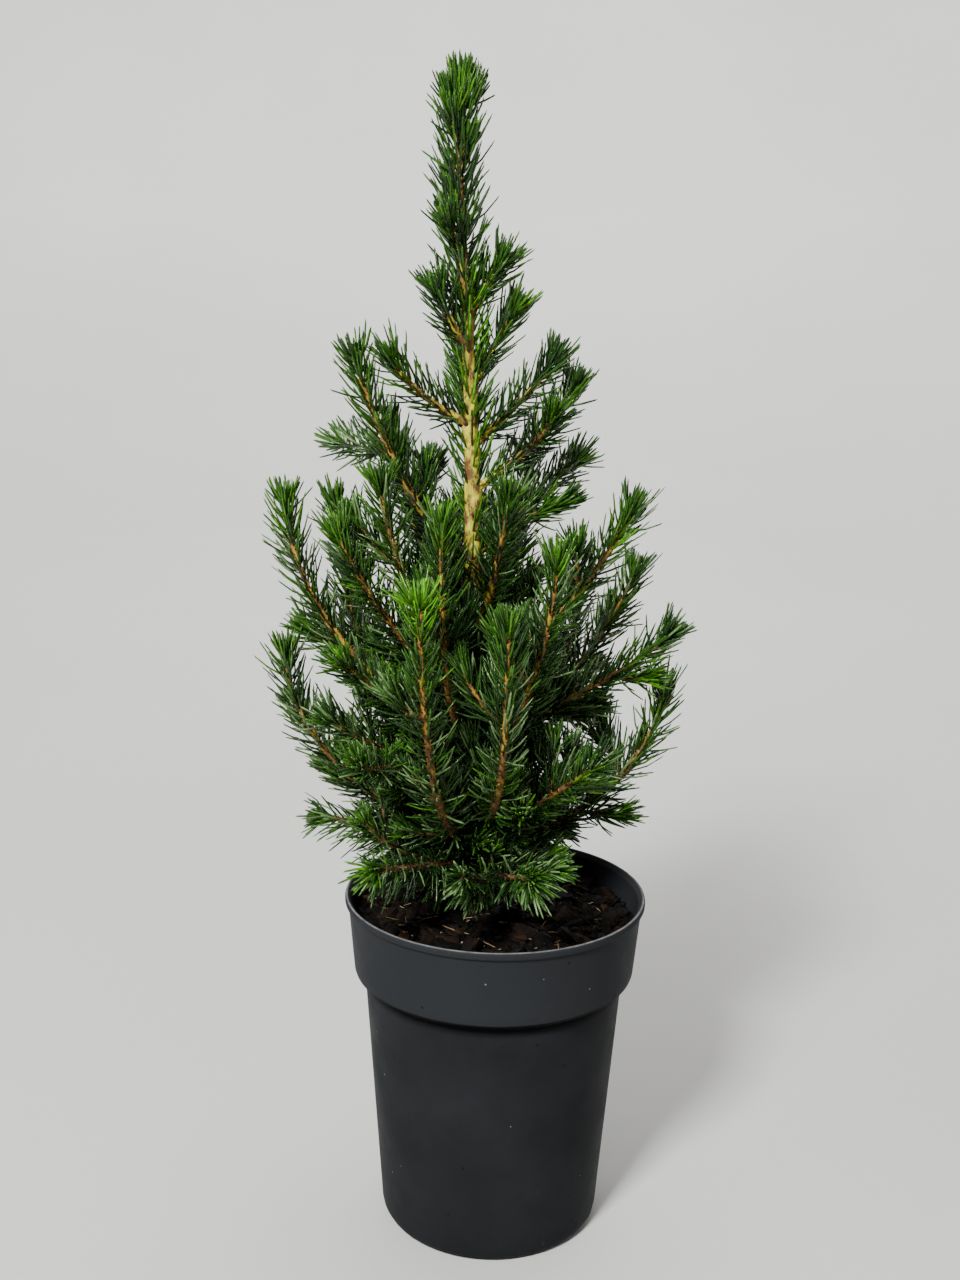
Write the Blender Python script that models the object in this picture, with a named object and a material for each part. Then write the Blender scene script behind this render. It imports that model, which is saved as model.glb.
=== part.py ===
"""Potted dwarf conifer: a grey nursery pot, its soil, and a small spruce with upturned shoots.

The origin is at the centre of the pot's flat underside, +Z is up, and the side that faces -Y is the
front. Sizes are in millimetres, and heights on the tree are measured up from the soil.
"""

import math
import random
from collections import namedtuple

import bmesh
import bpy
import numpy as np
from mathutils import Matrix, Vector

MM = 0.001
GAP = 0.3
SEED = 7

# Pot: a turned shell with a deep collar under its rim, and drain holes in its floor.
POT_HEIGHT = 150.0
RIM_RADIUS = 65.0
LIP_DEPTH = 3.0
LIP_OVERHANG = 1.5
COLLAR_FOOT = 117.0
COLLAR_RADIUS = 60.8
WAIST_HEIGHT = 110.5
WAIST_RADIUS = 56.0
FOOT_RADIUS = 48.2
FOOT_ROUND = 6.0
UNDERSIDE_RADIUS = 44.5
WALL = 1.5
FLOOR = 2.2
POT_SIDES = 36
DRAIN_HOLES = 6
DRAIN_CIRCLE = 34.0
DRAIN_RADIUS = 4.0

# Soil: fills the pot to a little under the rim, lumpy but for a flat patch round the trunk's foot.
SOIL_TOP = 138.0
SOIL_PATCH = 20.0
SOIL_LUMP = 1.4

# Trunk: height above the soil, sideways, front to back, and radius.
TRUNK_LINE = (
    (0.0, -9.0, 9.0, 4.4),
    (100.0, -11.5, 6.0, 3.5),
    (190.0, -13.0, 3.0, 2.8),
    (250.0, -15.5, 1.0, 2.3),
    (303.0, -20.0, 0.0, 1.7),
    (336.0, -20.0, 0.0, 1.1),
)
TRUNK_HEIGHT = TRUNK_LINE[-1][0]
TRUNK_EASING = 12.0
TRUNK_FOOT_RINGS = (GAP, 3.0, 8.0, 16.0, 28.0)
TRUNK_SIDES = 10
TRUNK_RING_STEP = 18.0
FLARE = 3.6
FLARE_HEIGHT = 9.0
FLARE_ROOTS = 4
FLARE_LOBE = 0.35

# Limbs and stems: radii, and how many sides each kind has.
LIMB_SIDES = 6
LIMB_RADII = (2.1, 1.3)
LIMB_RING_STEP = 9.0
CORE_SIDES = 5
CORE_RADII = (1.3, 0.8)
FORK_RADII = (1.1, 0.7)
TWIG_SIDES = 4
TWIG_RADII = (0.95, 0.7)
FINE_STEP = 1.5
SWAY = 0.02

# Side twigs: their length, the angle at which they leave their stem, and how much their tips lift.
TWIG_LENGTH = (16.0, 27.0)
TWIG_LEAN = (40.0, 55.0)
TWIG_LIFT = 0.18
TWIG_SWEEP = 1.15
TWIG_TRIES = 12
TWIG_CLEAR = 6.5
TWIG_OVER_SOIL = 12.0
FORK_SWEEP = 1.25

# Needles: each tooth of a mass stands for a spray of them. A spray is shortened, or left out, where
# it would leave the space of its stem, and the margins are how far it stays from what is near.
NEEDLE = 14.0
TUFT_NEEDLE = 15.0
NEEDLE_LEAN = (46.0, 62.0)
TUFT_LEAN = (24.0, 40.0)
SPRAY_STEP = 7.0
LEAST_BANDS = 3
SPRAY_SHARES = (1.0, 0.8, 0.6, 0.42)
SPRAY_MARGIN = 1.1
TWIG_MARGIN = 0.4
LIMB_MARGIN = 0.9
SOIL_CLEAR = 3.0

# Shoots: each leaves the trunk at its foot, points to its heading (0 is right, 90 is away, -90 is
# to the front) and ends at its reach and tip height. A sweep of 1 is straight, and 2 goes out level
# and turns upright. Bare is the length of the bough that carries the mass, or 0 where the mass
# grows from the trunk itself. Twigs is how many seeded side twigs it has.
Shoot = namedtuple("Shoot", "name foot heading reach tip sweep bare twigs")
SHOOTS = (
    Shoot("crest_right", 256, -25, 14, 275, 1.0, 0, 0),
    Shoot("crest_left", 243, -135, 17, 264, 1.1, 0, 0),
    Shoot("crest_right_low", 227, 15, 17, 257, 1.0, 0, 0),
    Shoot("upper_left", 213, -155, 34, 237, 1.2, 0, 0),
    Shoot("upper_right", 204, 5, 32, 237, 1.1, 0, 0),
    Shoot("upper_back", 205, 100, 32, 240, 1.2, 0, 0),
    Shoot("high_right", 186, 14, 42, 226, 1.2, 0, 0),
    Shoot("high_right_back", 157, 35, 52, 194, 1.0, 0, 1),
    Shoot("high_left", 150, -156, 51, 237, 1.2, 26, 1),
    Shoot("high_front", 123, -68, 35, 187, 1.3, 24, 0),
    Shoot("left_front_tall", 106, -132, 55, 190, 1.3, 34, 1),
    Shoot("front_tall", 80, -105, 54, 183, 1.7, 40, 1),
    Shoot("front_left", 35, -106, 78, 153, 1.7, 36, 1),
    Shoot("front_right", 45, -78, 64, 139, 1.9, 40, 1),
    Shoot("right_front", 66, -57, 56, 162, 1.5, 38, 1),
    Shoot("right_tall", 97, -9, 64, 178, 1.15, 34, 1),
    Shoot("right_back", 62, 24, 75, 145, 1.2, 0, 2),
    Shoot("right_outer", 78, 5, 83, 125, 1.2, 30, 1),
    Shoot("right_low", 28, 8, 82, 97, 1.6, 28, 1),
    Shoot("right_low_front", 29, -48, 70, 82, 1.0, 0, 2),
    Shoot("left_outer", 89, -170, 78, 179, 1.6, 32, 1),
    Shoot("left_front", 92, -147, 64, 170, 1.15, 34, 0),
    Shoot("left_back", 75, 158, 62, 146, 1.6, 0, 2),
    Shoot("left_front_low", 66, -131, 76, 124, 1.0, 0, 2),
    Shoot("left_low", 37, -171, 80, 115, 1.6, 30, 1),
    Shoot("left_low_front", 52, -145, 70, 96, 1.0, 0, 1),
    Shoot("skirt_left", 27, 173, 66, 39, 1.1, 0, 2),
    Shoot("skirt_front_left", 22, -123, 70, 40, 1.0, 0, 1),
    Shoot("skirt_front", 18, -72, 70, 40, 1.0, 0, 2),
    Shoot("skirt_right", 22, 38, 66, 48, 1.1, 0, 2),
    Shoot("skirt_back", 20, 98, 64, 44, 1.1, 0, 1),
    Shoot("back_left_tall", 128, 128, 54, 196, 1.4, 30, 1),
    Shoot("back_right_tall", 118, 65, 54, 190, 1.4, 0, 2),
    Shoot("back_mid", 84, 96, 66, 166, 1.5, 40, 1),
    Shoot("back_right", 52, 52, 78, 130, 1.5, 40, 1),
    Shoot("back_left", 48, 134, 78, 134, 1.5, 40, 1),
    Shoot("back_low", 34, 88, 80, 100, 1.5, 0, 2),
)

# Forks: side shoots that belong to a shoot's mass. Each leaves it at a share of its length and
# ends at a heading, reach and tip height of its own.
Fork = namedtuple("Fork", "shoot at heading reach tip")
FORKS = (
    Fork("high_right", 0.45, -22, 34, 217),
    Fork("high_left", 0.45, 162, 60, 202),
    Fork("left_front", 0.5, 176, 58, 176),
    Fork("right_low", 0.5, 26, 62, 80),
    Fork("left_low", 0.6, -178, 76, 90),
    Fork("left_low_front", 0.45, -124, 78, 86),
    Fork("skirt_front_left", 0.3, -140, 58, 52),
    Fork("skirt_front", 0.4, -94, 60, 38),
    Fork("skirt_front", 0.35, -34, 38, 33),
    Fork("skirt_back", 0.35, 134, 66, 50),
)

# Leader: needles round the trunk's top, as two sleeves, each with a small side tuft.
Sleeve = namedtuple("Sleeve", "name foot top tuft_at tuft_heading tuft_reach tuft_tip")
SLEEVES = (
    Sleeve("leader_low", 274.0, 297.0, 277.0, -113, 14.0, 291.0),
    Sleeve("leader_top", 299.0, TRUNK_HEIGHT, 318.0, -110, 8.0, 330.0),
)
SLEEVE_SIDES = 7
SLEEVE_WALL = 0.7
SLEEVE_STEP = 5.0
SLEEVE_BORE_RINGS = 4
SLEEVE_LEAN = (34.0, 52.0)
SLEEVE_TUFT_LEAN = (18.0, 32.0)
SLEEVE_CAP = 2.5
CROWN_TOP = 358.0

MATERIALS = {
    "pot_grey": ((0.042, 0.045, 0.048), 0.5),
    "soil_brown": ((0.020, 0.012, 0.008), 0.95),
    "trunk_bark": ((0.42, 0.27, 0.11), 0.8),
    "bough_bark": ((0.24, 0.11, 0.04), 0.8),
    "needles_green": ((0.035, 0.115, 0.028), 0.55),
}

# A stem or limb: whose it is, its line, its radius at each end, and its sides.
Stem = namedtuple("Stem", "owner points radii sides")


def clear_scene():
    for obj in list(bpy.data.objects):
        bpy.data.objects.remove(obj)


def make_material(name):
    colour, roughness = MATERIALS[name]
    material = bpy.data.materials.new(name)
    material.use_nodes = True
    shader = material.node_tree.nodes["Principled BSDF"]
    shader.inputs["Base Color"].default_value = (*colour, 1.0)
    shader.inputs["Roughness"].default_value = roughness
    shader.inputs["Metallic"].default_value = 0.0
    material.diffuse_color = (*colour, 1.0)
    return material


def add_object(name, bm, material, smooth_angle=None):
    """Turns a bmesh in millimetres into a named object in metres, all in triangles."""
    bmesh.ops.scale(bm, vec=(MM, MM, MM), verts=bm.verts)
    bmesh.ops.recalc_face_normals(bm, faces=bm.faces)
    bmesh.ops.triangulate(bm, faces=bm.faces)
    mesh = bpy.data.meshes.new(name)
    bm.to_mesh(mesh)
    bm.free()
    mesh.materials.append(material)
    if smooth_angle is not None:
        mesh.shade_smooth()
        mesh.set_sharp_from_angle(angle=math.radians(smooth_angle))
    obj = bpy.data.objects.new(name, mesh)
    bpy.context.scene.collection.objects.link(obj)
    return obj


def turn(outline, sides):
    """A closed body turned about Z from (radius, height) points that start and end on the axis."""
    bm = bmesh.new()
    points = [bm.verts.new((radius, 0.0, height)) for radius, height in outline]
    lines = [bm.edges.new(pair) for pair in zip(points, points[1:])]
    bmesh.ops.spin(
        bm, geom=points + lines, cent=(0, 0, 0), axis=(0, 0, 1), angle=math.tau, steps=sides, use_merge=True
    )
    bmesh.ops.remove_doubles(bm, verts=bm.verts, dist=0.001)
    return bm


def pot_outside():
    """Outer (radius, height) points, from the underside's edge up to the rim's outer edge."""
    return [
        (UNDERSIDE_RADIUS, 0.0),
        (FOOT_RADIUS - 1.7, 1.5),
        (FOOT_RADIUS, FOOT_ROUND),
        (WAIST_RADIUS, WAIST_HEIGHT),
        (COLLAR_RADIUS, COLLAR_FOOT),
        (COLLAR_RADIUS + 0.8, COLLAR_FOOT + 4.0),
        (RIM_RADIUS - LIP_OVERHANG, POT_HEIGHT - LIP_DEPTH - 0.7),
        (RIM_RADIUS, POT_HEIGHT - LIP_DEPTH),
        (RIM_RADIUS, POT_HEIGHT - 0.6),
        (RIM_RADIUS - 0.6, POT_HEIGHT),
    ]


def pot_inside(clearance=0.0):
    """Inner (radius, height) points, from the floor's edge up to the wall at the rim."""
    return [
        (FOOT_RADIUS - WALL - clearance, FLOOR + clearance),
        (WAIST_RADIUS - WALL - clearance, WAIST_HEIGHT + WALL),
        (COLLAR_RADIUS - WALL - clearance, COLLAR_FOOT + WALL),
        (RIM_RADIUS - LIP_OVERHANG - WALL - clearance, POT_HEIGHT),
    ]


def make_pot(material):
    outline = [(0.0, 0.0), *pot_outside(), *reversed(pot_inside()), (0.0, FLOOR)]
    pot = add_object("pot", turn(outline, POT_SIDES), material, 40)
    drill = bmesh.new()
    for hole in range(DRAIN_HOLES):
        angle = math.tau * (hole + 0.5) / DRAIN_HOLES
        place = Matrix.Translation((DRAIN_CIRCLE * math.cos(angle), DRAIN_CIRCLE * math.sin(angle), 0.0))
        bmesh.ops.create_cone(
            drill, cap_ends=True, segments=8, radius1=DRAIN_RADIUS, radius2=DRAIN_RADIUS,
            depth=4 * FLOOR, matrix=place,
        )
    drills = add_object("drain_drill", drill, material)
    drills.hide_render = True
    drills.display_type = "WIRE"
    cut = pot.modifiers.new("drain_holes", "BOOLEAN")
    cut.operation = "DIFFERENCE"
    cut.object = drills
    return pot


def make_soil(material):
    chance = random.Random(SEED)
    wall = pot_inside(GAP)
    radii = [point[0] for point in wall]
    heights = [point[1] for point in wall]
    edge = float(np.interp(SOIL_TOP, heights, radii))
    top = [(edge - inward, SOIL_TOP) for inward in (0.0, 8.0, 20.0, 33.0, 46.0)]
    outline = [(0.0, heights[0]), *wall[:-1], *top, (0.0, SOIL_TOP)]
    bm = turn(outline, POT_SIDES)
    trunk_foot = Vector(TRUNK_LINE[0][1:3])
    for vert in bm.verts:
        on_top = vert.co.z > SOIL_TOP - 0.01
        if on_top and (vert.co.xy - trunk_foot).length > SOIL_PATCH:
            vert.co.z += chance.uniform(-SOIL_LUMP, SOIL_LUMP)
    return add_object("soil", bm, material, 60)


def trunk_at(height):
    """Centre and radius of the trunk at a height above the soil, eased between the line's points."""
    heights, across, back, radii = zip(*TRUNK_LINE)
    eased = [height - TRUNK_EASING, height, height + TRUNK_EASING]
    x, y, radius = (float(np.mean(np.interp(eased, heights, column))) for column in (across, back, radii))
    return np.array([x, y, SOIL_TOP + height]), radius


def bark_at(height):
    """Centre of the trunk and the most that its bark reaches out there, root swellings included."""
    centre, radius = trunk_at(height)
    return centre, radius + (1 + FLARE_LOBE) * FLARE * math.exp(-height / FLARE_HEIGHT)


def ring(bm, centre, radius, sides, frame=None, twist=0.0):
    """A loop of points round a centre, level or across the given frame's third axis."""
    turned = Matrix.Rotation(twist, 4, "Z")
    matrix = Matrix.Translation(Vector(centre)) @ (frame or Matrix.Identity(4)) @ turned
    made = bmesh.ops.create_circle(bm, cap_ends=False, segments=sides, radius=radius, matrix=matrix)
    return made["verts"]


def wall(bm, low, high):
    """The side faces between two loops of as many points."""
    around = range(len(low))
    return [bm.faces.new((low[i - 1], low[i], high[i], high[i - 1])) for i in around]


def make_trunk(material):
    """The whole trunk, from its flat cut on the soil to its tip, with low root swellings at the foot."""
    bm = bmesh.new()
    count = int((TRUNK_HEIGHT - TRUNK_FOOT_RINGS[-1]) / TRUNK_RING_STEP)
    upper = np.linspace(TRUNK_FOOT_RINGS[-1], TRUNK_HEIGHT, count + 1)[1:]
    heights = [*TRUNK_FOOT_RINGS, *upper]
    loops = []
    for height in heights:
        centre, radius = trunk_at(height)
        loop = ring(bm, centre, radius, TRUNK_SIDES)
        flare = FLARE * math.exp(-height / FLARE_HEIGHT)
        for vert in loop:
            away = Vector((vert.co.x - centre[0], vert.co.y - centre[1], 0.0))
            root = FLARE_LOBE * math.cos(FLARE_ROOTS * math.atan2(away.y, away.x))
            vert.co += away.normalized() * flare * (1 + root)
        loops.append(loop)
    for low, high in zip(loops, loops[1:]):
        wall(bm, low, high)
    bm.faces.new(loops[0])
    bm.faces.new(loops[-1])
    return add_object("trunk", bm, material, 50)


def resample(points, step, least=2):
    """The same line with evenly spaced points, about a step apart."""
    lengths = np.concatenate([[0.0], np.cumsum(np.linalg.norm(np.diff(points, axis=0), axis=1))])
    count = max(least, int(round(lengths[-1] / step)))
    places = np.linspace(0.0, lengths[-1], count + 1)
    return np.stack([np.interp(places, lengths, points[:, axis]) for axis in range(3)], axis=1)


def sweep_line(start, end, sweep, sway=0.0):
    """A line that leaves its start outwards and turns up towards its end."""
    t = np.linspace(0.0, 1.0, 41)[:, None]
    out = (end - start) * [1.0, 1.0, 0.0]
    up = (end - start) * [0.0, 0.0, 1.0]
    aside = np.array([-out[1], out[0], 0.0]) / max(np.linalg.norm(out), 1e-6)
    line = start + out * (1 - (1 - t) ** sweep) + up * t**sweep
    return line + aside * sway * np.sin(math.pi * t * 1.5)


def place_at(foot, heading, reach, tip):
    """The point at a heading and reach from the trunk's centre at the foot, at the tip's height."""
    centre, _ = trunk_at(foot)
    angle = math.radians(heading)
    aside = reach * np.array([math.cos(angle), math.sin(angle), 0.0])
    return np.array([centre[0], centre[1], SOIL_TOP + tip]) + aside


def clear_of_trunk(line, radius):
    """Cuts off the part of a line that lies in the trunk or less than the gap from its bark."""
    for index, point in enumerate(line[:-1]):
        centre, bark = bark_at(point[2] - SOIL_TOP)
        ahead = line[min(index + 16, len(line) - 1)] - point
        rise = abs(ahead[2]) / np.linalg.norm(ahead)
        if np.linalg.norm((point - centre)[:2]) > bark + GAP + radius * rise:
            return line[index:]
    raise ValueError("a shoot never leaves the trunk")


def split_line(line, length):
    """The line up to a length, and the rest of it from the gap on."""
    fine = resample(line, 0.1)
    walked = np.concatenate([[0.0], np.cumsum(np.linalg.norm(np.diff(fine, axis=0), axis=1))])
    return fine[walked <= length], fine[walked >= length + GAP]


def nearest(points, segments):
    """Distance from each point to the nearest of some segments, given as (count, 2, 3)."""
    start = segments[:, 0]
    along = segments[:, 1] - start
    to_points = points[:, None, :] - start
    share = (to_points * along).sum(-1) / np.maximum((along * along).sum(-1), 1e-9)
    share = np.clip(share, 0.0, 1.0)[..., None]
    return np.linalg.norm(to_points - share * along, axis=-1).min(axis=1)


def segments_of(points):
    return np.stack([points[:-1], points[1:]], axis=1)


def all_segments(stems):
    return np.concatenate([segments_of(stem.points) for stem in stems])


def trial_twig(line, share, to_left, chance):
    """A short side twig that leaves a line at a share of its length and lifts its tip a little."""
    index = int(share * (len(line) - 2))
    forward = line[index + 1] - line[index]
    forward /= np.linalg.norm(forward)
    side = np.cross(forward, [0.0, 0.0, 1.0]) * (-1 if to_left else 1)
    side /= np.linalg.norm(side)
    roll = math.radians(chance.uniform(-50, 50))
    away = math.cos(roll) * side + math.sin(roll) * np.cross(side, forward)
    lean = math.radians(chance.uniform(*TWIG_LEAN))
    length = chance.uniform(*TWIG_LENGTH) * (1.15 - 0.4 * share)
    tip = line[index] + length * (math.cos(lean) * forward + math.sin(lean) * away)
    tip[2] += TWIG_LIFT * length
    return resample(sweep_line(line[index], tip, TWIG_SWEEP), FINE_STEP)


def plan_twigs(shoot, line, stems, chance):
    """Side twigs, to the left and right in turn, where they stay clear of every other stem."""
    twigs = []
    others = all_segments([stem for stem in stems if stem.owner != shoot.name])
    for number in range(shoot.twigs):
        own = all_segments([stem for stem in stems + twigs if stem.owner == shoot.name])
        for _ in range(TWIG_TRIES):
            share = 0.12 + 0.6 * (number + chance.random()) / shoot.twigs
            twig = trial_twig(line, share, number % 2 == 1, chance)
            outer_half = twig[len(twig) // 2 :]
            clear_of_others = nearest(twig[2:], others).min() > TWIG_CLEAR
            clear_of_own = nearest(outer_half, own).min() > 0.8 * TWIG_CLEAR
            if clear_of_others and clear_of_own and twig[:, 2].min() > SOIL_TOP + TWIG_OVER_SOIL:
                twigs.append(Stem(shoot.name, twig, TWIG_RADII, TWIG_SIDES))
                break
    return twigs


def plan_shoot(shoot, chance):
    """A shoot's bough, if it has one, and the main stem of its mass."""
    start, _ = trunk_at(shoot.foot)
    end = place_at(shoot.foot, shoot.heading, shoot.reach, shoot.tip)
    line = resample(sweep_line(start, end, shoot.sweep, chance.uniform(-SWAY, SWAY) * shoot.reach), 0.5)
    limbs = []
    if shoot.bare:
        line = clear_of_trunk(line, LIMB_RADII[0])
        limb, line = split_line(line, shoot.bare)
        limbs.append(Stem(shoot.name, resample(limb, LIMB_RING_STEP), LIMB_RADII, LIMB_SIDES))
    else:
        line = clear_of_trunk(line, CORE_RADII[0])
    return limbs, Stem(shoot.name, resample(line, FINE_STEP), CORE_RADII, CORE_SIDES)


def plan_sleeve(sleeve):
    """The line of the trunk that a sleeve is round, and the stem of its side tuft."""
    axis = np.array([trunk_at(height)[0] for height in np.linspace(sleeve.foot, sleeve.top, 12)])
    tip = place_at(sleeve.tuft_at, sleeve.tuft_heading, sleeve.tuft_reach, sleeve.tuft_tip)
    tuft = resample(sweep_line(trunk_at(sleeve.tuft_at)[0], tip, 1.0), 1.0)
    tuft = clear_of_trunk(tuft, TWIG_RADII[0])
    return [Stem(sleeve.name, axis, (0.0, 0.0), 0), Stem(sleeve.name, tuft, TWIG_RADII, TWIG_SIDES)]


def plan_tree():
    """Every limb and every stem, worked out before any is made, so that each can keep its space."""
    chance = random.Random(SEED)
    limbs = []
    stems = []
    mains = {}
    for shoot in SHOOTS:
        bough, main = plan_shoot(shoot, chance)
        limbs += bough
        stems.append(main)
        mains[shoot.name] = (shoot, main.points)
    for sleeve in SLEEVES:
        stems += plan_sleeve(sleeve)
    for fork in FORKS:
        shoot, line = mains[fork.shoot]
        start = line[int(fork.at * (len(line) - 1))]
        tip = place_at(shoot.foot, fork.heading, fork.reach, fork.tip)
        points = resample(sweep_line(start, tip, FORK_SWEEP), FINE_STEP)
        stems.append(Stem(fork.shoot, points, FORK_RADII, TWIG_SIDES))
    for shoot, line in mains.values():
        stems += plan_twigs(shoot, line, stems + limbs, chance)
    return limbs, stems


def frames_along(points):
    """A turning frame at each point whose third axis follows the line and whose others don't twist."""
    ahead = np.gradient(points, axis=0)
    side = Vector((0.0, 0.0, 1.0)).cross(Vector(ahead[0]))
    if side.length < 1e-6:
        side = Vector((1.0, 0.0, 0.0))
    frames = []
    for direction in ahead:
        z = Vector(direction).normalized()
        x = (side - side.dot(z) * z).normalized()
        side = x
        y = z.cross(x)
        frames.append(Matrix((x, y, z)).transposed().to_4x4())
    return frames


def make_limb(limb, material):
    """One tapering limb, cut flat at the trunk and at the mass that it carries."""
    bm = bmesh.new()
    radii = np.linspace(*limb.radii, len(limb.points))
    loops = [
        ring(bm, point, radius, limb.sides, frame)
        for point, radius, frame in zip(limb.points, radii, frames_along(limb.points))
    ]
    for low, high in zip(loops, loops[1:]):
        wall(bm, low, high)
    bm.faces.new(loops[0])
    bm.faces.new(loops[-1])
    return add_object("bough_" + limb.owner, bm, material, 50)


class Space:
    """What a stem may fill: the points nearer to it than to any other stem, and clear of the limbs."""

    def __init__(self, stem, stems, limbs):
        others = [other for other in stems if other is not stem]
        kin = [other for other in others if other.owner == stem.owner]
        self.own = segments_of(stem.points)
        self.kin = all_segments(kin) if kin else None
        self.others = all_segments([other for other in others if other.owner != stem.owner])
        self.limbs = all_segments(limbs)
        self.heights = np.linspace(0.0, TRUNK_HEIGHT, 60)
        bark = [bark_at(height) for height in self.heights]
        self.trunk = segments_of(np.array([centre for centre, _ in bark]))
        self.bark = np.array([radius for _, radius in bark])

    def holds(self, root, tip, past_trunk=True):
        points = root + (tip - root) * np.array([[0.3], [0.55], [0.8], [1.0]])
        heights = points[:, 2] - SOIL_TOP
        from_middle = np.hypot(points[:, 0], points[:, 1])
        near_rim = (points[:, 2] < POT_HEIGHT + SOIL_CLEAR) & (from_middle > COLLAR_RADIUS - 2 * SOIL_CLEAR)
        if heights.min() < SOIL_CLEAR or near_rim.any():
            return False
        if nearest(points, self.limbs).min() < LIMB_RADII[0] + LIMB_MARGIN:
            return False
        bark = np.interp(heights, self.heights, self.bark)
        if past_trunk and (nearest(points, self.trunk) < bark + LIMB_MARGIN + SLEEVE_WALL).any():
            return False
        own = nearest(points, self.own)
        if self.kin is not None and (own + TWIG_MARGIN > nearest(points, self.kin)).any():
            return False
        return bool((own + SPRAY_MARGIN < nearest(points, self.others)).all())


def raise_spray(bm, face, axis_point, ahead, length, lean, space, past_trunk=True):
    """Draws a core's face out into one pointed spray, shorter or not at all where space is short."""
    root = np.array(face.calc_center_median())
    away = root - axis_point
    away -= away.dot(ahead) * ahead
    away /= max(np.linalg.norm(away), 1e-6)
    direction = math.cos(lean) * ahead + math.sin(lean) * away
    for share in SPRAY_SHARES:
        tip = root + direction * length * share
        if space.holds(root, tip, past_trunk):
            bmesh.ops.poke(bm, faces=[face])["verts"][0].co = Vector(tip)
            return


def make_brush(name, stem, space, material, chance):
    """A slim core along one stem, with rows of sprays and a tuft at its tip."""
    bm = bmesh.new()
    points = resample(stem.points, SPRAY_STEP, LEAST_BANDS)
    near_end = points[-1] + (points[-2] - points[-1]) * 0.4
    points = np.concatenate([points[:-1], [near_end], points[-1:]])
    radii = np.linspace(*stem.radii, len(points))
    frames = frames_along(points)
    quarter_side = math.tau / stem.sides / 4
    loops = [
        ring(bm, point, radius, stem.sides, frame, number * quarter_side)
        for number, (point, radius, frame) in enumerate(zip(points, radii, frames))
    ]
    bands = [wall(bm, low, high) for low, high in zip(loops, loops[1:])]
    bm.faces.new(loops[0])
    end = bm.faces.new(loops[-1])
    last = len(bands) - 1
    for band, faces in enumerate(bands):
        ahead = points[band + 1] - points[band]
        ahead /= np.linalg.norm(ahead)
        middle = (points[band] + points[band + 1]) / 2
        near_tip = band >= last - 1
        for face in faces:
            length = (TUFT_NEEDLE if near_tip else NEEDLE) * chance.uniform(0.85, 1.08)
            lean = math.radians(chance.uniform(*(TUFT_LEAN if near_tip else NEEDLE_LEAN)))
            raise_spray(bm, face, middle, ahead, length, lean, space)
    raise_spray(bm, end, points[-1] - ahead, ahead, TUFT_NEEDLE, 0.0, space)
    return add_object(name, bm, material)


def make_sleeve(name, sleeve, space, material, chance):
    """Needles round the trunk: a ring core clear of it, closed over the tip where it is the top one."""
    bm = bmesh.new()
    closed = sleeve.top >= TRUNK_HEIGHT
    top = sleeve.top + (GAP if closed else 0.0)
    corner = 1.0 / math.cos(math.pi / SLEEVE_SIDES)

    def sleeve_ring(height, wall_thickness):
        centre, radius = trunk_at(height)
        return ring(bm, centre, (radius + GAP + 0.05) * corner + wall_thickness, SLEEVE_SIDES)

    inner = [sleeve_ring(height, 0.0) for height in np.linspace(sleeve.foot, top, SLEEVE_BORE_RINGS)]
    count = int((top - sleeve.foot) / SLEEVE_STEP)
    outer = [sleeve_ring(height, SLEEVE_WALL) for height in np.linspace(sleeve.foot, top, count + 1)]
    if closed:
        cap_centre, cap_radius = trunk_at(sleeve.top + SLEEVE_CAP)
        outer.append(ring(bm, cap_centre, cap_radius, SLEEVE_SIDES))
    for low, high in zip(inner, inner[1:]):
        wall(bm, low, high)
    bands = [wall(bm, low, high) for low, high in zip(outer, outer[1:])]
    wall(bm, inner[0], outer[0])
    up = np.array([0.0, 0.0, 1.0])
    if closed:
        bm.faces.new(inner[-1])
        end = bm.faces.new(outer[-1])
        raise_spray(bm, end, cap_centre - up, up, CROWN_TOP - sleeve.top - SLEEVE_CAP, 0.0, space, False)
    else:
        wall(bm, inner[-1], outer[-1])
    for band, faces in enumerate(bands):
        near_tip = closed and band >= len(bands) - 2
        middle = trunk_at(sleeve.foot + (band + 0.5) * SLEEVE_STEP)[0]
        for face in faces:
            length = TUFT_NEEDLE * chance.uniform(0.85, 1.1)
            lean = math.radians(chance.uniform(*(SLEEVE_TUFT_LEAN if near_tip else SLEEVE_LEAN)))
            raise_spray(bm, face, middle, up, length, lean, space, False)
    return add_object(name, bm, material)


def join_mass(brushes):
    """Makes one closed body of a mass's brushes."""
    first, rest = brushes[0], brushes[1:]
    if not rest:
        return first
    group = bpy.data.collections.new("brushes")
    for brush in rest:
        group.objects.link(brush)
    union = first.modifiers.new("join", "BOOLEAN")
    union.operation = "UNION"
    union.operand_type = "COLLECTION"
    union.collection = group
    union.solver = "MANIFOLD"
    with bpy.context.temp_override(object=first, active_object=first):
        bpy.ops.object.modifier_apply(modifier=union.name)
    for brush in rest:
        bpy.data.objects.remove(brush)
    bpy.data.collections.remove(group)
    return first


def make_mass(owner, stems, limbs, material):
    chance = random.Random(owner)
    own = [stem for stem in stems if stem.owner == owner]
    brushes = []
    sleeve = next((sleeve for sleeve in SLEEVES if sleeve.name == owner), None)
    for number, stem in enumerate(own):
        name = "mass_" + owner if number == 0 else f"brush_{number}"
        space = Space(stem, stems, limbs)
        if number == 0 and sleeve:
            brushes.append(make_sleeve(name, sleeve, space, material, chance))
        else:
            brushes.append(make_brush(name, stem, space, material, chance))
    return join_mass(brushes)


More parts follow.
